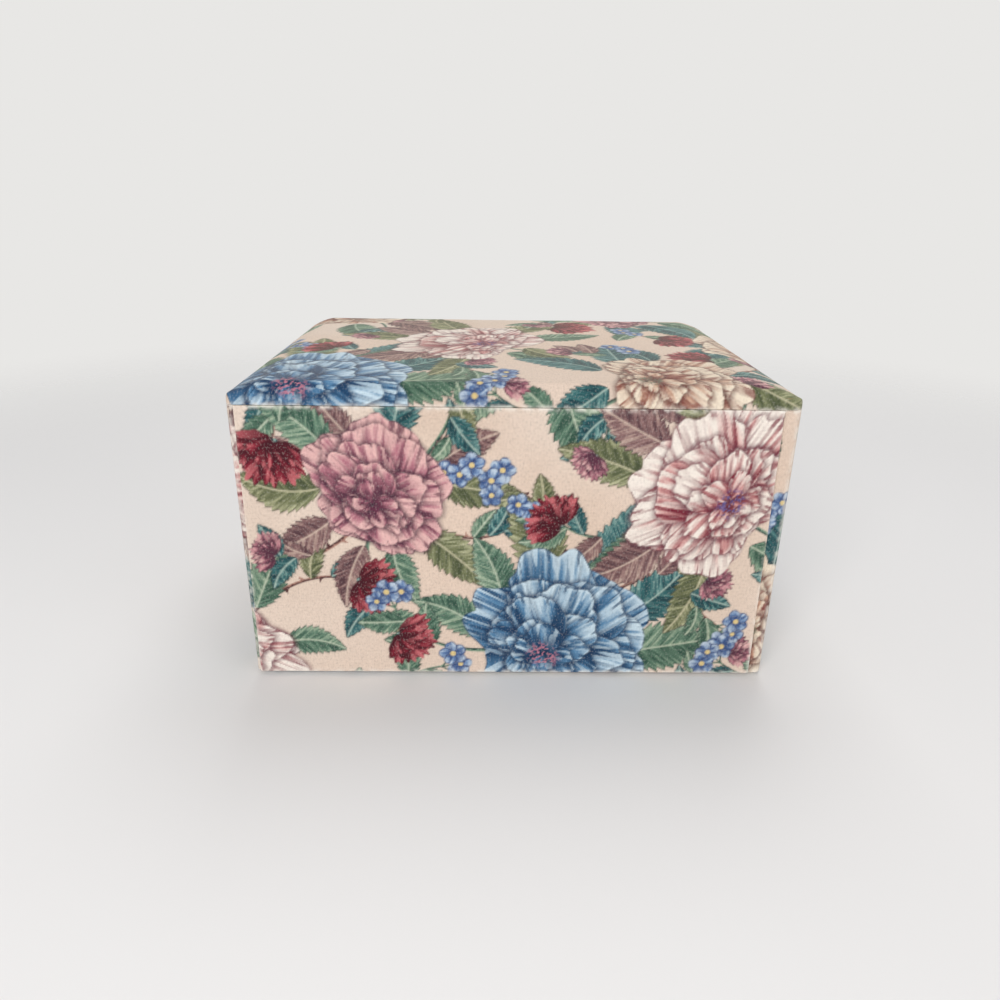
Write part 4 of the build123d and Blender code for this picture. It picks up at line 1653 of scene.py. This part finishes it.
@dataclass
class PaddedLid(Dressing):
    """The lid's printed cover over its foam, pulled tight, turned in below, and swelled a little."""

    print_: Chintz
    room: HingeRoom
    pitch: float = 0.66
    corner: float = 5.0
    upright: float = 3.2
    corner_lift: float = 1.7
    left_reach: float = 17.5
    right_reach: float = 20.5
    front_reach: float = 5.5
    back_reach: float = 4.0
    side_fullness: float = 1.45
    end_fullness: float = 2.0
    crown_rise: float = 0.3
    crown_fall: float = 3.0
    rings: int = 18
    softening: int = 36
    foot_edge: float = 0.28
    foot_reach: float = 0.2
    foot_wear_and_highlight: Point = (1.1, 1.5)
    turn_in: float = 14.8
    turn_in_edge: float = 0.7
    hollow: float = 0.28
    pinned_rim: float = 2.5
    cloth_pitch: float = 6.0
    pressure: float = 4.0
    swell: float = 0.9
    frames: int = 20
    cut: Point = (381.0, 192.0)

    def span(self) -> tuple[Array, Array]:
        """The cover's room.

        Returns:
            Its lowest and highest corner.
        """
        low, high = corners_of("lid_cloth")
        low[2] -= self.foot_reach
        return low, high

    def heights(self, plan: Array) -> Array:
        """Height of the cover over the plan, before it swells.

        For each edge, t is the distance from it over that edge's reach, and the padding
        rises as (1 - (1 - t)^p)^(1/p). The part across and the part along are multiplied.
        Round a corner both distances turn with the rim, so that the rise is nought on it,
        and the rim itself stands higher there, over the corner of the board. The crown falls
        evenly from the back to the front.

        Args:
            plan: places, as rows of two.

        Returns:
            The height of each place, in millimetres.
        """
        low, high = self.span()
        half, over = (high - low)[:2] / 2, plan - (low + high)[:2] / 2
        beyond = np.maximum(np.abs(over) - (half - self.corner), 0)
        out = np.hypot(beyond[:, 0], beyond[:, 1])
        turn = np.arctan2(beyond[:, 1], beyond[:, 0]) / (TURN / 4)
        total = np.ones(len(plan))
        sides = np.where(over[:, 0] < 0, self.left_reach, self.right_reach)
        ends = np.where(over[:, 1] < 0, self.front_reach, self.back_reach)
        parts = ((0, sides, turn, self.side_fullness), (1, ends, 1 - turn, self.end_fullness))
        for axis, reach, swing, full in parts:
            u = np.clip(2 * swing - 1, 0, 1)
            held = 2 * u**3 - 3 * u**2 + 1 - (TURN / 8) * (u**3 - u**2)
            clear = half[axis] - np.abs(over[:, axis]) + beyond[:, axis] - out * held
            t = np.clip(clear / reach, 0, 1)
            total *= (1 - (1 - t) ** full) ** (1 / full)
        rim = low[2] + self.upright + self.corner_lift * (np.sin(turn * TURN / 2) * out / self.corner) ** 2
        fallen = self.crown_fall * (1 - over[:, 1] / half[1]) / 2
        return rim + (high[2] + self.crown_rise - self.swell - fallen - rim) * total

    def surface(
        self, pitch: float, fan: int, rings: int, swelling: Function | None
    ) -> tuple[Surface, Outline]:
        """The cover at a pitch: the crown over the plan, an upright edge, and the turned-in cloth below.

        The edge between crown and foot is softened by averaging each point with its neighbours.

        Args:
            pitch: about how far apart its points are.
            fan: how many steps turn each corner.
            rings: how many rings lie between the core and the rim; they crowd towards the rim.
            swelling: the height that the padding adds over the plan, or None.

        Returns:
            The surface and its outline.
        """
        low, high = self.span()
        outline = Outline.round_core(rectangle(low[:2] + self.corner, high[:2] - self.corner), pitch, fan)
        outs = self.corner * (1 - (1 - np.arange(rings + 1) / rings) ** 2)
        core, crowded = outline.core(), np.stack([outline.at(out) for out in outs])

        def lifted(plan: Array, fading: Array | float) -> Array:
            """The plan with its heights.

            Args:
                plan: places, as an array of pairs.
                fading: how much of the swelling each place gets.

            Returns:
                The same array with three numbers to a place.
            """
            flat = plan.reshape(-1, 2)
            level = self.heights(flat).reshape(plan.shape[:-1])
            if swelling is not None:
                inner = np.clip(flat, outline.corners.min(0), outline.corners.max(0))
                level = level + swelling(inner).reshape(plan.shape[:-1]) * fading
            return raised(plan, level)

        bend, r, inner = quarter(self.foot_edge, 3), self.foot_edge, self.corner - self.turn_in
        below = np.concatenate((
            np.stack((self.corner - bend[:, 1], low[2] + r - bend[:, 0]), 1),
            stretch((self.corner - r, low[2]), (inner, low[2]), round(self.turn_in / pitch)),
            [(inner, low[2] + self.turn_in_edge)],
        ))
        under = np.stack([outline.at(out) for out, _ in below])
        under = raised(under, np.repeat(below[:, 1][:, None], under.shape[1], 1))
        crown = lifted(crowded, eased(self.corner - outs, 0, self.corner)[:, None])
        steps = max(1, round(self.upright / pitch))
        wall = crown[-1] + np.arange(1, steps)[:, None, None] / steps * (under[0] - crown[-1])
        soft = np.concatenate((crown, wall, under[:1]))
        for _ in range(self.softening):
            soft[1:-1] = (soft[:-2] + 2 * soft[1:-1] + soft[2:]) / 4
        return covered(outline, lifted(core, 1.0), np.concatenate((soft, under[1:]))), outline

    def simulated(self) -> Function:
        """Swell a coarse cover with cloth simulation.

        Returns:
            Its rise over the plan.
        """
        made, outline = self.surface(self.cloth_pitch, 3, 4, None)
        piece = made.build("lid_trial")
        before = vertices_of(piece)
        pinned = piece.vertex_groups.new(name="pinned")
        low, high = self.span()
        near = np.minimum(before[:, :2] - low[:2], high[:2] - before[:, :2]).min(1) < self.pinned_rim
        held = np.flatnonzero(near | (before[:, 2] < low[2] + self.upright))
        pinned.add([int(x) for x in held], 1.0, "REPLACE")
        cloth = piece.modifiers.new("cloth", "CLOTH")
        cloth.settings.use_pressure = True
        cloth.settings.uniform_pressure_force = self.pressure
        cloth.settings.vertex_group_mass = "pinned"
        cloth.settings.effector_weights.gravity = 0
        cloth.settings.quality = 6
        scene = SCENE
        for number in range(1, self.frames + 1):
            scene.frame_set(number)
        settled = piece.evaluated_get(bpy.context.evaluated_depsgraph_get())
        rise = (vertices_of(settled) - before)[:, 2]
        scene.frame_set(1)
        bpy.data.objects.remove(piece)
        rows, columns = outline.counts[1] + 1, outline.counts[0] + 1
        grid = rise[made.joined[: rows * columns]].reshape(rows, columns)
        log.info("lid simulation rose %.2f to %.2f mm", grid.min(), grid.max())
        grid = grid * self.swell / max(float(grid.max()), 1e-6)
        return self.sampled(grid, outline.corners)

    @staticmethod
    def sampled(grid: Array, corners: Array) -> Function:
        """Join a grid of heights smoothly: a cubic through four neighbours each way.

        Args:
            grid: the heights, rows by columns.
            corners: the corners of the plan that it covers.

        Returns:
            The height over the plan.
        """
        low, high = corners.min(0), corners.max(0)
        rows, columns = grid.shape
        padded = np.pad(grid, 1, mode="reflect", reflect_type="odd")

        def weights(t: Array) -> Array:
            """The four weights of the cubic at a part of a cell."""
            inner = (2 - 5 * t**2 + 3 * t**3, t + 4 * t**2 - 3 * t**3)
            return 0.5 * np.stack((-t + 2 * t**2 - t**3, *inner, t**3 - t**2))

        def height(plan: Array) -> Array:
            """Sample the grid.

            Args:
                plan: places, as rows of two.

            Returns:
                The height of each.
            """
            share = np.clip((plan - low) / (high - low), 0, 1)
            x, y = share[:, 0] * (columns - 1), share[:, 1] * (rows - 1)
            i, j = np.minimum(x.astype(int), columns - 2), np.minimum(y.astype(int), rows - 2)
            across, along = weights(x - i), weights(y - j)
            total = np.zeros(len(plan))
            for a in range(4):
                for b in range(4):
                    total += along[b] * across[a] * padded[j + b, i + a]
            return total

        return height

    def swelling(self) -> Function:
        """Find how the padding rises over the plan.
        """
        low, high = self.span()
        return self.simulated()

        def height(plan: Array) -> Array:
            """A dome (1 - x^4)(1 - y^4)."""
            share = (plan - (low[:2] + high[:2]) / 2) / ((high[:2] - low[:2]) / 2)
            return self.swell * (1 - share[:, 0] ** 4) * (1 - share[:, 1] ** 4)

        return height

    def build(self) -> None:
        """Build, print and seat the cover."""
        low, high = self.span()
        padding = self.swelling()

        def rumpled(plan: Array) -> Array:
            """The padding with faint hollows where the foam is soft.

            Args:
                plan: places, as rows of two.

            Returns:
                How far each rises.
            """
            broad = mottle(plan[:, 0] / 40 + 5, plan[:, 1] / 32, 8)
            small = mottle(plan[:, 0] / 17, plan[:, 1] / 15, 9)
            return padding(plan) + self.hollow * (broad + 0.5 * small - 0.75)

        made, _ = self.surface(self.pitch, 14, self.rings, rumpled)
        piece = made.build("lid_printed_cover")
        points = vertices_of(piece)
        recess = corners_of("left_lid_hinge_leaf")[1][2] + self.room.clearance
        sunk = self.room.holds(points, high[1]) & (points[:, 2] < recess)
        points[:, 2] = np.where(sunk, recess, points[:, 2])
        piece.data.vertices.foreach_set("co", (points * MM).astype(np.float32).ravel())
        piece.data.update()
        set_colours(piece, "print", self.print_.colours(made.flat_places, self.cut, self.pitch))
        # painted highlight: a pale band along the cover's lower edge, partly wear and partly a painted
        # highlight above the joint
        inside = np.minimum(points[:, :2] - low[:2], high[:2] - points[:, :2]).min(1)
        down, across = self.foot_wear_and_highlight
        foot = bell(points[:, 2] - low[2], down) * bell(np.maximum(inside, 0), across)
        set_values(piece, "edge_tone", 0.8 * foot)
        seat(piece, "lid", self.finishes.cotton, "printed_cloth", "lid_cloth", "lid_foam")


# Soft furnishings

@dataclass
class Pads(Dressing):
    """Velvet pads: a crowned top that sinks along walls and dividers, over rounded edges."""

    pitch: float = 2.0
    edge: float = 1.3
    corner: float = 1.6
    foot_inset: float = 0.6
    rise: float = 0.9
    dip: float = 0.35
    sink: float = 7.0
    fade: float = 2.0
    gap: float = 0.15

    def pad(
        self, name: str, low: Array, high: Array, lines: Sequence[tuple[int, float, float, float]] = ()
    ) -> Piece:
        """One pad.

        Args:
            name: the piece's name.
            low: lowest corner of its room.
            high: highest corner of its room.
            lines: what presses on it, as axis, place and the stretch on the other axis.

        Returns:
            The piece.
        """
        low, high = low + (self.gap, self.gap, 0), high - (self.gap, self.gap, 0)
        core = rectangle(low[:2] + self.corner, high[:2] - self.corner)
        outline = Outline.round_core(core, self.pitch, 5)
        deep = high[2] - low[2]
        profile = np.concatenate((
            [(0.0, 0.0)],
            quarter(self.edge, 4) + (self.corner - self.edge, 0),
            stretch((self.corner, self.edge), (self.corner, deep), 2),
            [(self.corner - self.foot_inset, deep)],
        ))

        def height(plan: Array) -> Array:
            """The top rises as 1 - exp(-d / sink), d being how far the nearest edge or divider is.

            Args:
                plan: places, as rows of two.

            Returns:
                The height of each over the level top.
            """
            near = np.minimum(plan - low[:2], high[:2] - plan).min(1)
            for axis, at, start, end in lines:
                other = plan[:, 1 - axis]
                past = np.maximum(np.maximum(start - other, other - end), 0)
                near = np.minimum(near, np.hypot(plan[:, axis] - at, past))
            return self.rise * (1 - np.exp(-near / self.sink)) - self.rise * self.dip

        return CoveredForm(outline, profile, high[2], self.fade, height).surface().build(name)

    def floor(self) -> None:
        """The pad on the case's floor, pressed by the three dividers."""
        low, high = corners_of("floor_pad")
        long_low, long_high = corners_of("long_divider")
        long_y = (long_low[1] + long_high[1]) / 2
        lines = [(1, long_y, low[0], high[0])]
        for name in ("short_divider_left", "short_divider_right"):
            one, two = corners_of(name)
            lines.append((0, (one[0] + two[0]) / 2, low[1], long_y))
        piece = self.pad("floor_velvet_pad", low, high, lines)
        seat(piece, "case", self.finishes.velvet, "lining_velvet", "floor_pad")

    def build(self) -> None:
        """Build all four pads."""
        self.floor()
        self.tray()

    def tray(self) -> None:
        """The three pads in the tray's open compartments."""
        low, high = corners_of("tray_floor_pads")
        divider_low, divider_high = corners_of("tray_divider_right")
        cross_low, cross_high = corners_of("tray_cross_divider")
        rooms = {
            "tray_pad_middle": ((low[0], low[1]), (divider_low[0], high[1])),
            "tray_pad_front": ((divider_high[0], low[1]), (high[0], cross_low[1])),
            "tray_pad_back": ((divider_high[0], cross_high[1]), (high[0], high[1])),
        }
        for name, (start, end) in rooms.items():
            piece = self.pad(name, np.array((*start, low[2])), np.array((*end, high[2])))
            seat(piece, "tray", self.finishes.velvet, "lining_velvet", "tray_floor_pads")


@dataclass
class RingRolls(Dressing):
    """A row of velvet rolls: a tombstone section carried along X, closed in at both ends."""

    count: int = 8
    gap: float = 0.25
    squeeze: float = 0.06
    foot_radius: float = 2.0
    end: float = 2.4
    end_gap: float = 0.2
    unevenness: float = 0.020
    stations: int = 46

    def section(self, radius: float, tall: float) -> Array:
        """The roll's section: a half round on upright sides, with small rounds at the foot.

        Args:
            radius: half its width.
            tall: its height.

        Returns:
            Its points, as rows of two, starting on the right where the half round does.
        """
        top = np.linspace(0, np.pi, 23)
        dome = np.stack((radius * np.cos(top), tall - radius + radius * np.sin(top)), 1)
        r = self.foot_radius
        turn = np.linspace(np.pi, 1.5 * np.pi, 6)
        left = np.stack((-radius + r + r * np.cos(turn), r + r * np.sin(turn)), 1)
        right = np.stack((-left[::-1, 0], left[::-1, 1]), 1)
        flat = stretch(tuple(left[-1]), tuple(right[0]), 6)[:-1]
        up = stretch(tuple(right[-1]), tuple(dome[0]), 4)[:-1]
        down = stretch(tuple(dome[-1]), tuple(left[0]), 4)[:-1]
        return np.concatenate((dome, down, left, flat, right, up))

    def build(self) -> None:
        """Build the eight rolls as one piece."""
        low, high = corners_of("ring_rolls")
        wide = (high[1] - low[1] + self.gap) / self.count
        radius = (wide - self.gap) / 2 + self.squeeze
        section = self.section(radius, high[2] - low[2])
        centre = np.array((0, (high[2] - low[2]) * 0.45))
        along = np.linspace(0, 1, self.stations)
        share = 0.5 - 0.5 * np.cos(np.pi * along)
        run = low[0] + self.end_gap + share * (high[0] - low[0] - 2 * self.end_gap)
        inset = np.minimum(run - run[0], run[-1] - run)
        shrink = np.sqrt(np.clip(1 - (1 - np.clip(inset / self.end, 0, 1)) ** 2, 0, 1))
        made = Surface()
        for index in range(self.count):
            swell = 1 - self.unevenness * (mottle(run / 11, run * 0 + index, 21) - 0.2)
            size = (shrink * swell)[:, None, None]
            shape = centre + (section[None] - centre) * np.concatenate((np.repeat(size, 1, 2), size), 2)
            y = low[1] + (index + 0.5) * wide + shape[..., 0]
            x = np.repeat(run[:, None], section.shape[0], 1)
            made.add_grid(np.stack((x, y, low[2] + shape[..., 1]), -1), closed=True)
        piece = made.build("ring_roll_row")
        seat(piece, "tray", self.finishes.velvet, "lining_velvet", "ring_rolls")


@dataclass
class Ribbons(Dressing):
    """Satin ribbons: the two lid stays and the two loops that lift the tray."""

    thickness: float = 0.45
    stay_width: float = 9.0
    stay_radius: float = 100.0
    stay_outer: float = 116.2
    stay_inner: float = 111.0
    stay_low: float = -3.4
    tab_width: float = 12.0
    tab_waist: float = 0.04
    tab_lean: float = 0.35
    tab_flatness: float = 0.4
    selvedge: Point = (0.9, 0.3)

    def woven(self, name: str, points: Array, across: Array, along: Array) -> Piece:
        """One ribbon: a layer with its selvedge's share stored on its vertices, which is then given its
        thickness.

        Args:
            name: the piece's name.
            points: rows along it by columns across it by three.
            across: how far its columns are from its middle.
            along: how far its rows are from its start.

        Returns:
            The piece.
        """
        made = Surface()
        made.add_grid(points, laid_flat(across, along))
        piece = made.build(name, outward=False)
        start, end = (across[-1] - inset for inset in self.selvedge)
        set_values(piece, "edge_tone", 0.8 * eased(np.abs(made.flat_places[:, 0]), start, end))
        layer = piece.modifiers.new("thickness", "SOLIDIFY")
        layer.thickness = self.thickness * MM
        layer.offset = 0
        return piece

    def stay(self, side: float, name: str, node: str) -> None:
        """One stay, built as it lies at rest: its straight shape at the open limit, turned back round the
        hinge.

        A point's share w of the lid's turn grows from case to lid as 3t² - 2t³ of its place
        along the ribbon. At the open limit it is the straight line between both ends; at rest it
        is turned back by w times the lid's range, which lays the ribbon in a fold beside the tray.

        Args:
            side: 1 on the right and -1 on the left.
            name: the piece's name.
            node: the frame node that it stands for.
        """
        joint = next(j for j in frame["joints"] if j["name"] == "lid_hinge")
        axis = np.array(joint["pos_m"][1:]) / MM
        limit = np.radians(max(joint["range_deg"]))
        foot = np.radians(self.stay_low)
        t = np.linspace(0, 1, 61)
        w = eased(t, 0, 1)
        opened = foot * (1 - w) + limit * w
        chord = self.stay_radius * np.cos((limit - foot) / 2) / np.cos(opened - (limit + foot) / 2)
        line = np.stack((-chord * np.cos(opened), chord * np.sin(opened)), 1)
        ahead = line[-1] - line[0]
        span = float(np.hypot(*ahead))
        normal = np.array((-ahead[1], ahead[0])) / span
        across = np.linspace(-0.5, 0.5, 7) * self.stay_width
        shape = line[:, None] + across[None, :, None] * normal
        back = (w * limit)[:, None]
        y = shape[..., 0] * np.cos(back) - shape[..., 1] * np.sin(back)
        z = shape[..., 0] * np.sin(back) + shape[..., 1] * np.cos(back)
        x = side * (self.stay_outer - (self.stay_outer - self.stay_inner) * t)[:, None]
        points = np.stack(np.broadcast_arrays(x, axis[0] + y, axis[1] + z), -1)
        piece = self.woven(name, points, across, np.hypot(*(line - line[0]).T))
        dress(piece, self.finishes.satin)
        start = (side * self.stay_outer * MM, float(axis[0]) * MM, float(axis[1]) * MM)
        end = (side * self.stay_inner * MM, start[1], start[2])
        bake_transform(piece)
        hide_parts(node)
        log.info("%s: %.0f mm from case to lid", name, span)

    def tab(self, side: str) -> None:
        """One pull tab: an arch over the tray's side wall whose legs are glued to it.

        Args:
            side: left or right.
        """
        node = f"{side}_pull_tab"
        low, high = corners_of(node)
        middle, half = (low + high) / 2, (high[0] - low[0]) / 2 - self.thickness / 2
        rise = high[2] - self.thickness / 2
        spring = rise - half - self.tab_flatness
        turn = np.linspace(0, np.pi, 17)
        arch = np.stack((half * np.cos(turn), spring + (rise - spring) * np.sin(turn)), 1)
        right = stretch((half, low[2]), tuple(arch[0]), 7)[:-1]
        left = stretch(tuple(arch[-1]), (-half, low[2]), 7)
        path = np.concatenate(([(half, low[2])], right, arch, left))
        across = np.linspace(-0.5, 0.5, 9) * self.tab_width
        lean = self.tab_lean * np.sin((path[:, 1] - low[2]) / (rise - low[2]) * np.pi)[:, None]
        waist = (1 - self.tab_waist * eased(path[:, 1], spring - 2, rise))[:, None]
        x, z = middle[0] + path[:, 0][:, None], path[:, 1][:, None]
        points = np.stack(np.broadcast_arrays(x, middle[1] + across[None, :] * waist + lean, z), -1)
        along = running(path)
        piece = self.woven(f"{side}_tray_ribbon", points, across, along)
        seat(piece, "tray", self.finishes.satin, "satin_ribbon", node)
        flat = (self.tab_width * MM, float(along[-1]) * MM)

    def build(self) -> None:
        """Build both stays and both tabs."""
        for side, name in ((-1.0, "left"), (1.0, "right")):
            self.stay(side, f"{name}_lid_stay", f"{name}_stay_ribbon")
            self.tab(name)


@dataclass
class BaseFelt(Dressing):
    """The felt under the box: a flat sheet with a soft, slightly uneven edge."""

    pitch: float = 3.0
    corner: float = 5.0
    edge: float = 0.5
    thickness: float = 1.2

    def build(self) -> None:
        """Build the felt upside down: its face is below and its edge turns up."""
        low, high = corners_of("base_felt")
        core = rectangle(low[:2] + self.corner, high[:2] - self.corner)
        outline = Outline.round_core(core, self.pitch, 6)
        bend = quarter(self.edge, 3) + (self.corner - self.edge, 0)
        profile = np.concatenate(([(0.0, 0.0)], bend, [(self.corner, self.thickness)]))
        form = CoveredForm(outline, profile, 0.0, 1.0, lambda plan: 0 * plan[:, 0])
        made = form.surface(lambda points: points * (1, 1, -1))
        piece = made.build("base_felt_sheet")
        seat(piece, "case", self.finishes.felt, "base_felt", "base_felt")


# Frame nodes that keep their own shape

PLAIN_NODES = {
    "board": ("base_board", "front_wall", "back_wall", "left_wall", "right_wall", "lid_board"),
    "card": ("front_card",),
    "velvet": (
        "front_lining", "back_lining", "left_lining", "right_lining", "lid_lining", "mirror_frame",
        "front_tray_ledge", "back_tray_ledge", "long_divider", "short_divider_left", "short_divider_right",
        "tray_floor", "tray_front_wall", "tray_back_wall", "tray_left_wall", "tray_right_wall",
        "tray_divider_left", "tray_divider_right", "tray_cross_divider",
    ),
    "brass": (
        "left_case_hinge_leaf", "right_case_hinge_leaf", "left_lid_hinge_leaf", "right_lid_hinge_leaf",
        "hinge_pins", "case_hinge_screws", "lid_hinge_screws",
    ),
    "mirror": ("mirror",),
}


def dress_frame(finishes: Finishes) -> None:
    """Give every node that stays its finish.

    Args:
        finishes: the finishes.
    """
    for finish, names in PLAIN_NODES.items():
        for name in names:
            dress(frame["nodes"][name], getattr(finishes, finish))
            log.info("%s: %s", name, finish)


# Studio

@dataclass
class Studio:
    """A pale floor that fades into the backdrop, soft lamps, and the camera."""

    floor_radius: float = 1.6
    floor_fade: Point = (0.40, 0.95)
    floor_colour: Colour = paint(231, 229, 227)
    backdrop: Colour = paint(232, 231, 229)
    sky: Colour = paint(246, 248, 252)
    sky_strength: float = 0.42
    lamp_size: float = 0.8
    lamp_aim: tuple[float, float, float] = (0.0, 0.0, 0.07)
    eye: tuple[float, float, float] = (-11.8, -401.6, 220.8)
    yaw: float = 0.989
    pitch: float = 21.817
    roll: float = 0.828
    lens: float = 27.44

    def floor(self) -> None:
        """A round floor: rings of a disc, whose finish turns clear towards its rim."""
        radius = np.linspace(0, 1, 24)[:, None] ** 1.5 * self.floor_radius / MM
        angle = np.linspace(0, TURN, 97)[None, :-1]
        x, y = radius * np.cos(angle), radius * np.sin(angle)
        made = Surface()
        made.add_grid(np.stack((x, y, 0 * x), -1), closed=True)
        floor = made.build("floor", outward=False)
        s = Shader("studio_floor")
        far = s.node("ShaderNodeVectorMath", {"operation": "LENGTH"}, {0: s.object_places()})
        clear = s.node("ShaderNodeBsdfTransparent", {}, {})
        fade = Value(s, far.outputs["Value"]).ramp(*self.floor_fade)
        mix = s.node("ShaderNodeMixShader", {}, {0: fade, 1: s.principled.outputs[0], 2: clear.outputs[0]})
        s.tree.links.new(mix.outputs[0], s.output.inputs["Surface"])
        dress(floor, s.finish(Base_Color=self.floor_colour, Roughness=0.75, Specular_IOR_Level=0.2))

    def world(self) -> None:
        """Soft light all round, and a plain pale backdrop where the camera or a gloss sees it."""
        world = bpy.data.worlds.new("studio")
        world.use_nodes = True
        SCENE.world = world
        tree = world.node_tree
        tree.nodes.clear()
        path = tree.nodes.new("ShaderNodeLightPath")
        seen = path.outputs["Is Camera Ray"]
        for ray in ("Is Glossy Ray", "Is Transmission Ray"):
            either = tree.nodes.new("ShaderNodeMath")
            either.operation = "MAXIMUM"
            tree.links.new(seen, either.inputs[0])
            tree.links.new(path.outputs[ray], either.inputs[1])
            seen = either.outputs[0]
        soft, plain = (tree.nodes.new("ShaderNodeBackground") for _ in range(2))
        soft.inputs[0].default_value = self.sky
        soft.inputs[1].default_value = self.sky_strength
        plain.inputs[0].default_value = self.backdrop
        mix, output = tree.nodes.new("ShaderNodeMixShader"), tree.nodes.new("ShaderNodeOutputWorld")
        tree.links.new(seen, mix.inputs[0])
        tree.links.new(soft.outputs[0], mix.inputs[1])
        tree.links.new(plain.outputs[0], mix.inputs[2])
        tree.links.new(mix.outputs[0], output.inputs[0])

    def lamp(self, name: str, place: tuple[float, float, float], power: float) -> None:
        """One square soft lamp that looks at the box.

        Args:
            name: its name.
            place: where it hangs, in metres.
            power: its power in watts.
        """
        data = bpy.data.lights.new(name, "AREA")
        data.shape, data.size, data.energy = "SQUARE", self.lamp_size, power
        made = bpy.data.objects.new(name, data)
        made.location = place
        ahead = Vector(self.lamp_aim) - Vector(place)
        made.rotation_euler = ahead.to_track_quat("-Z", "Y").to_euler()
        made.visible_glossy = False
        SCENE.collection.objects.link(made)

    def camera(self) -> None:
        """The eye in front of and above the box, turned by yaw, pitch and roll."""
        yaw, pitch, roll = (np.radians(x) for x in (self.yaw, self.pitch, self.roll))
        ahead = np.array((np.sin(yaw) * np.cos(pitch), np.cos(yaw) * np.cos(pitch), -np.sin(pitch)))
        right = np.array((np.cos(yaw), -np.sin(yaw), 0))
        up = np.cross(right, ahead)
        right, up = right * np.cos(roll) + up * np.sin(roll), up * np.cos(roll) - right * np.sin(roll)
        data = bpy.data.cameras.new("camera")
        data.lens, data.sensor_width, data.clip_start = self.lens, 36.0, 0.01
        made = bpy.data.objects.new("camera", data)
        turn = np.eye(4)
        turn[:3] = np.stack((right, up, -ahead, np.array(self.eye) * MM), 1)
        made.matrix_world = Matrix(turn.tolist())
        SCENE.collection.objects.link(made)
        SCENE.camera = made

    def build(self) -> None:
        """Build the studio."""
        SCENE.view_settings.view_transform = "Standard"
        self.camera()
        self.floor()
        self.world()
        self.lamp("key_lamp", (-0.45, -1.25, 0.70), 13.2)
        self.lamp("fill_lamp", (0.95, -0.85, 0.40), 3.5)
        self.lamp("top_lamp", (0.10, 0.55, 1.20), 7.0)


def main() -> None:
    """Build every sub-assembly in order."""
    logging.basicConfig(level=logging.INFO, format="%(message)s")
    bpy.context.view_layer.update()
    chintz = Chintz()
    Studio().build()
    finishes = Finishes.make()
    dress_frame(finishes)
    covers = (CasePrint(finishes, chintz, HingeRoom()), PaddedLid(finishes, chintz, HingeRoom()))
    for part in (*covers, Pads(finishes), RingRolls(finishes), Ribbons(finishes), BaseFelt(finishes)):
        part.build()


if __name__ == "__main__":
    main()
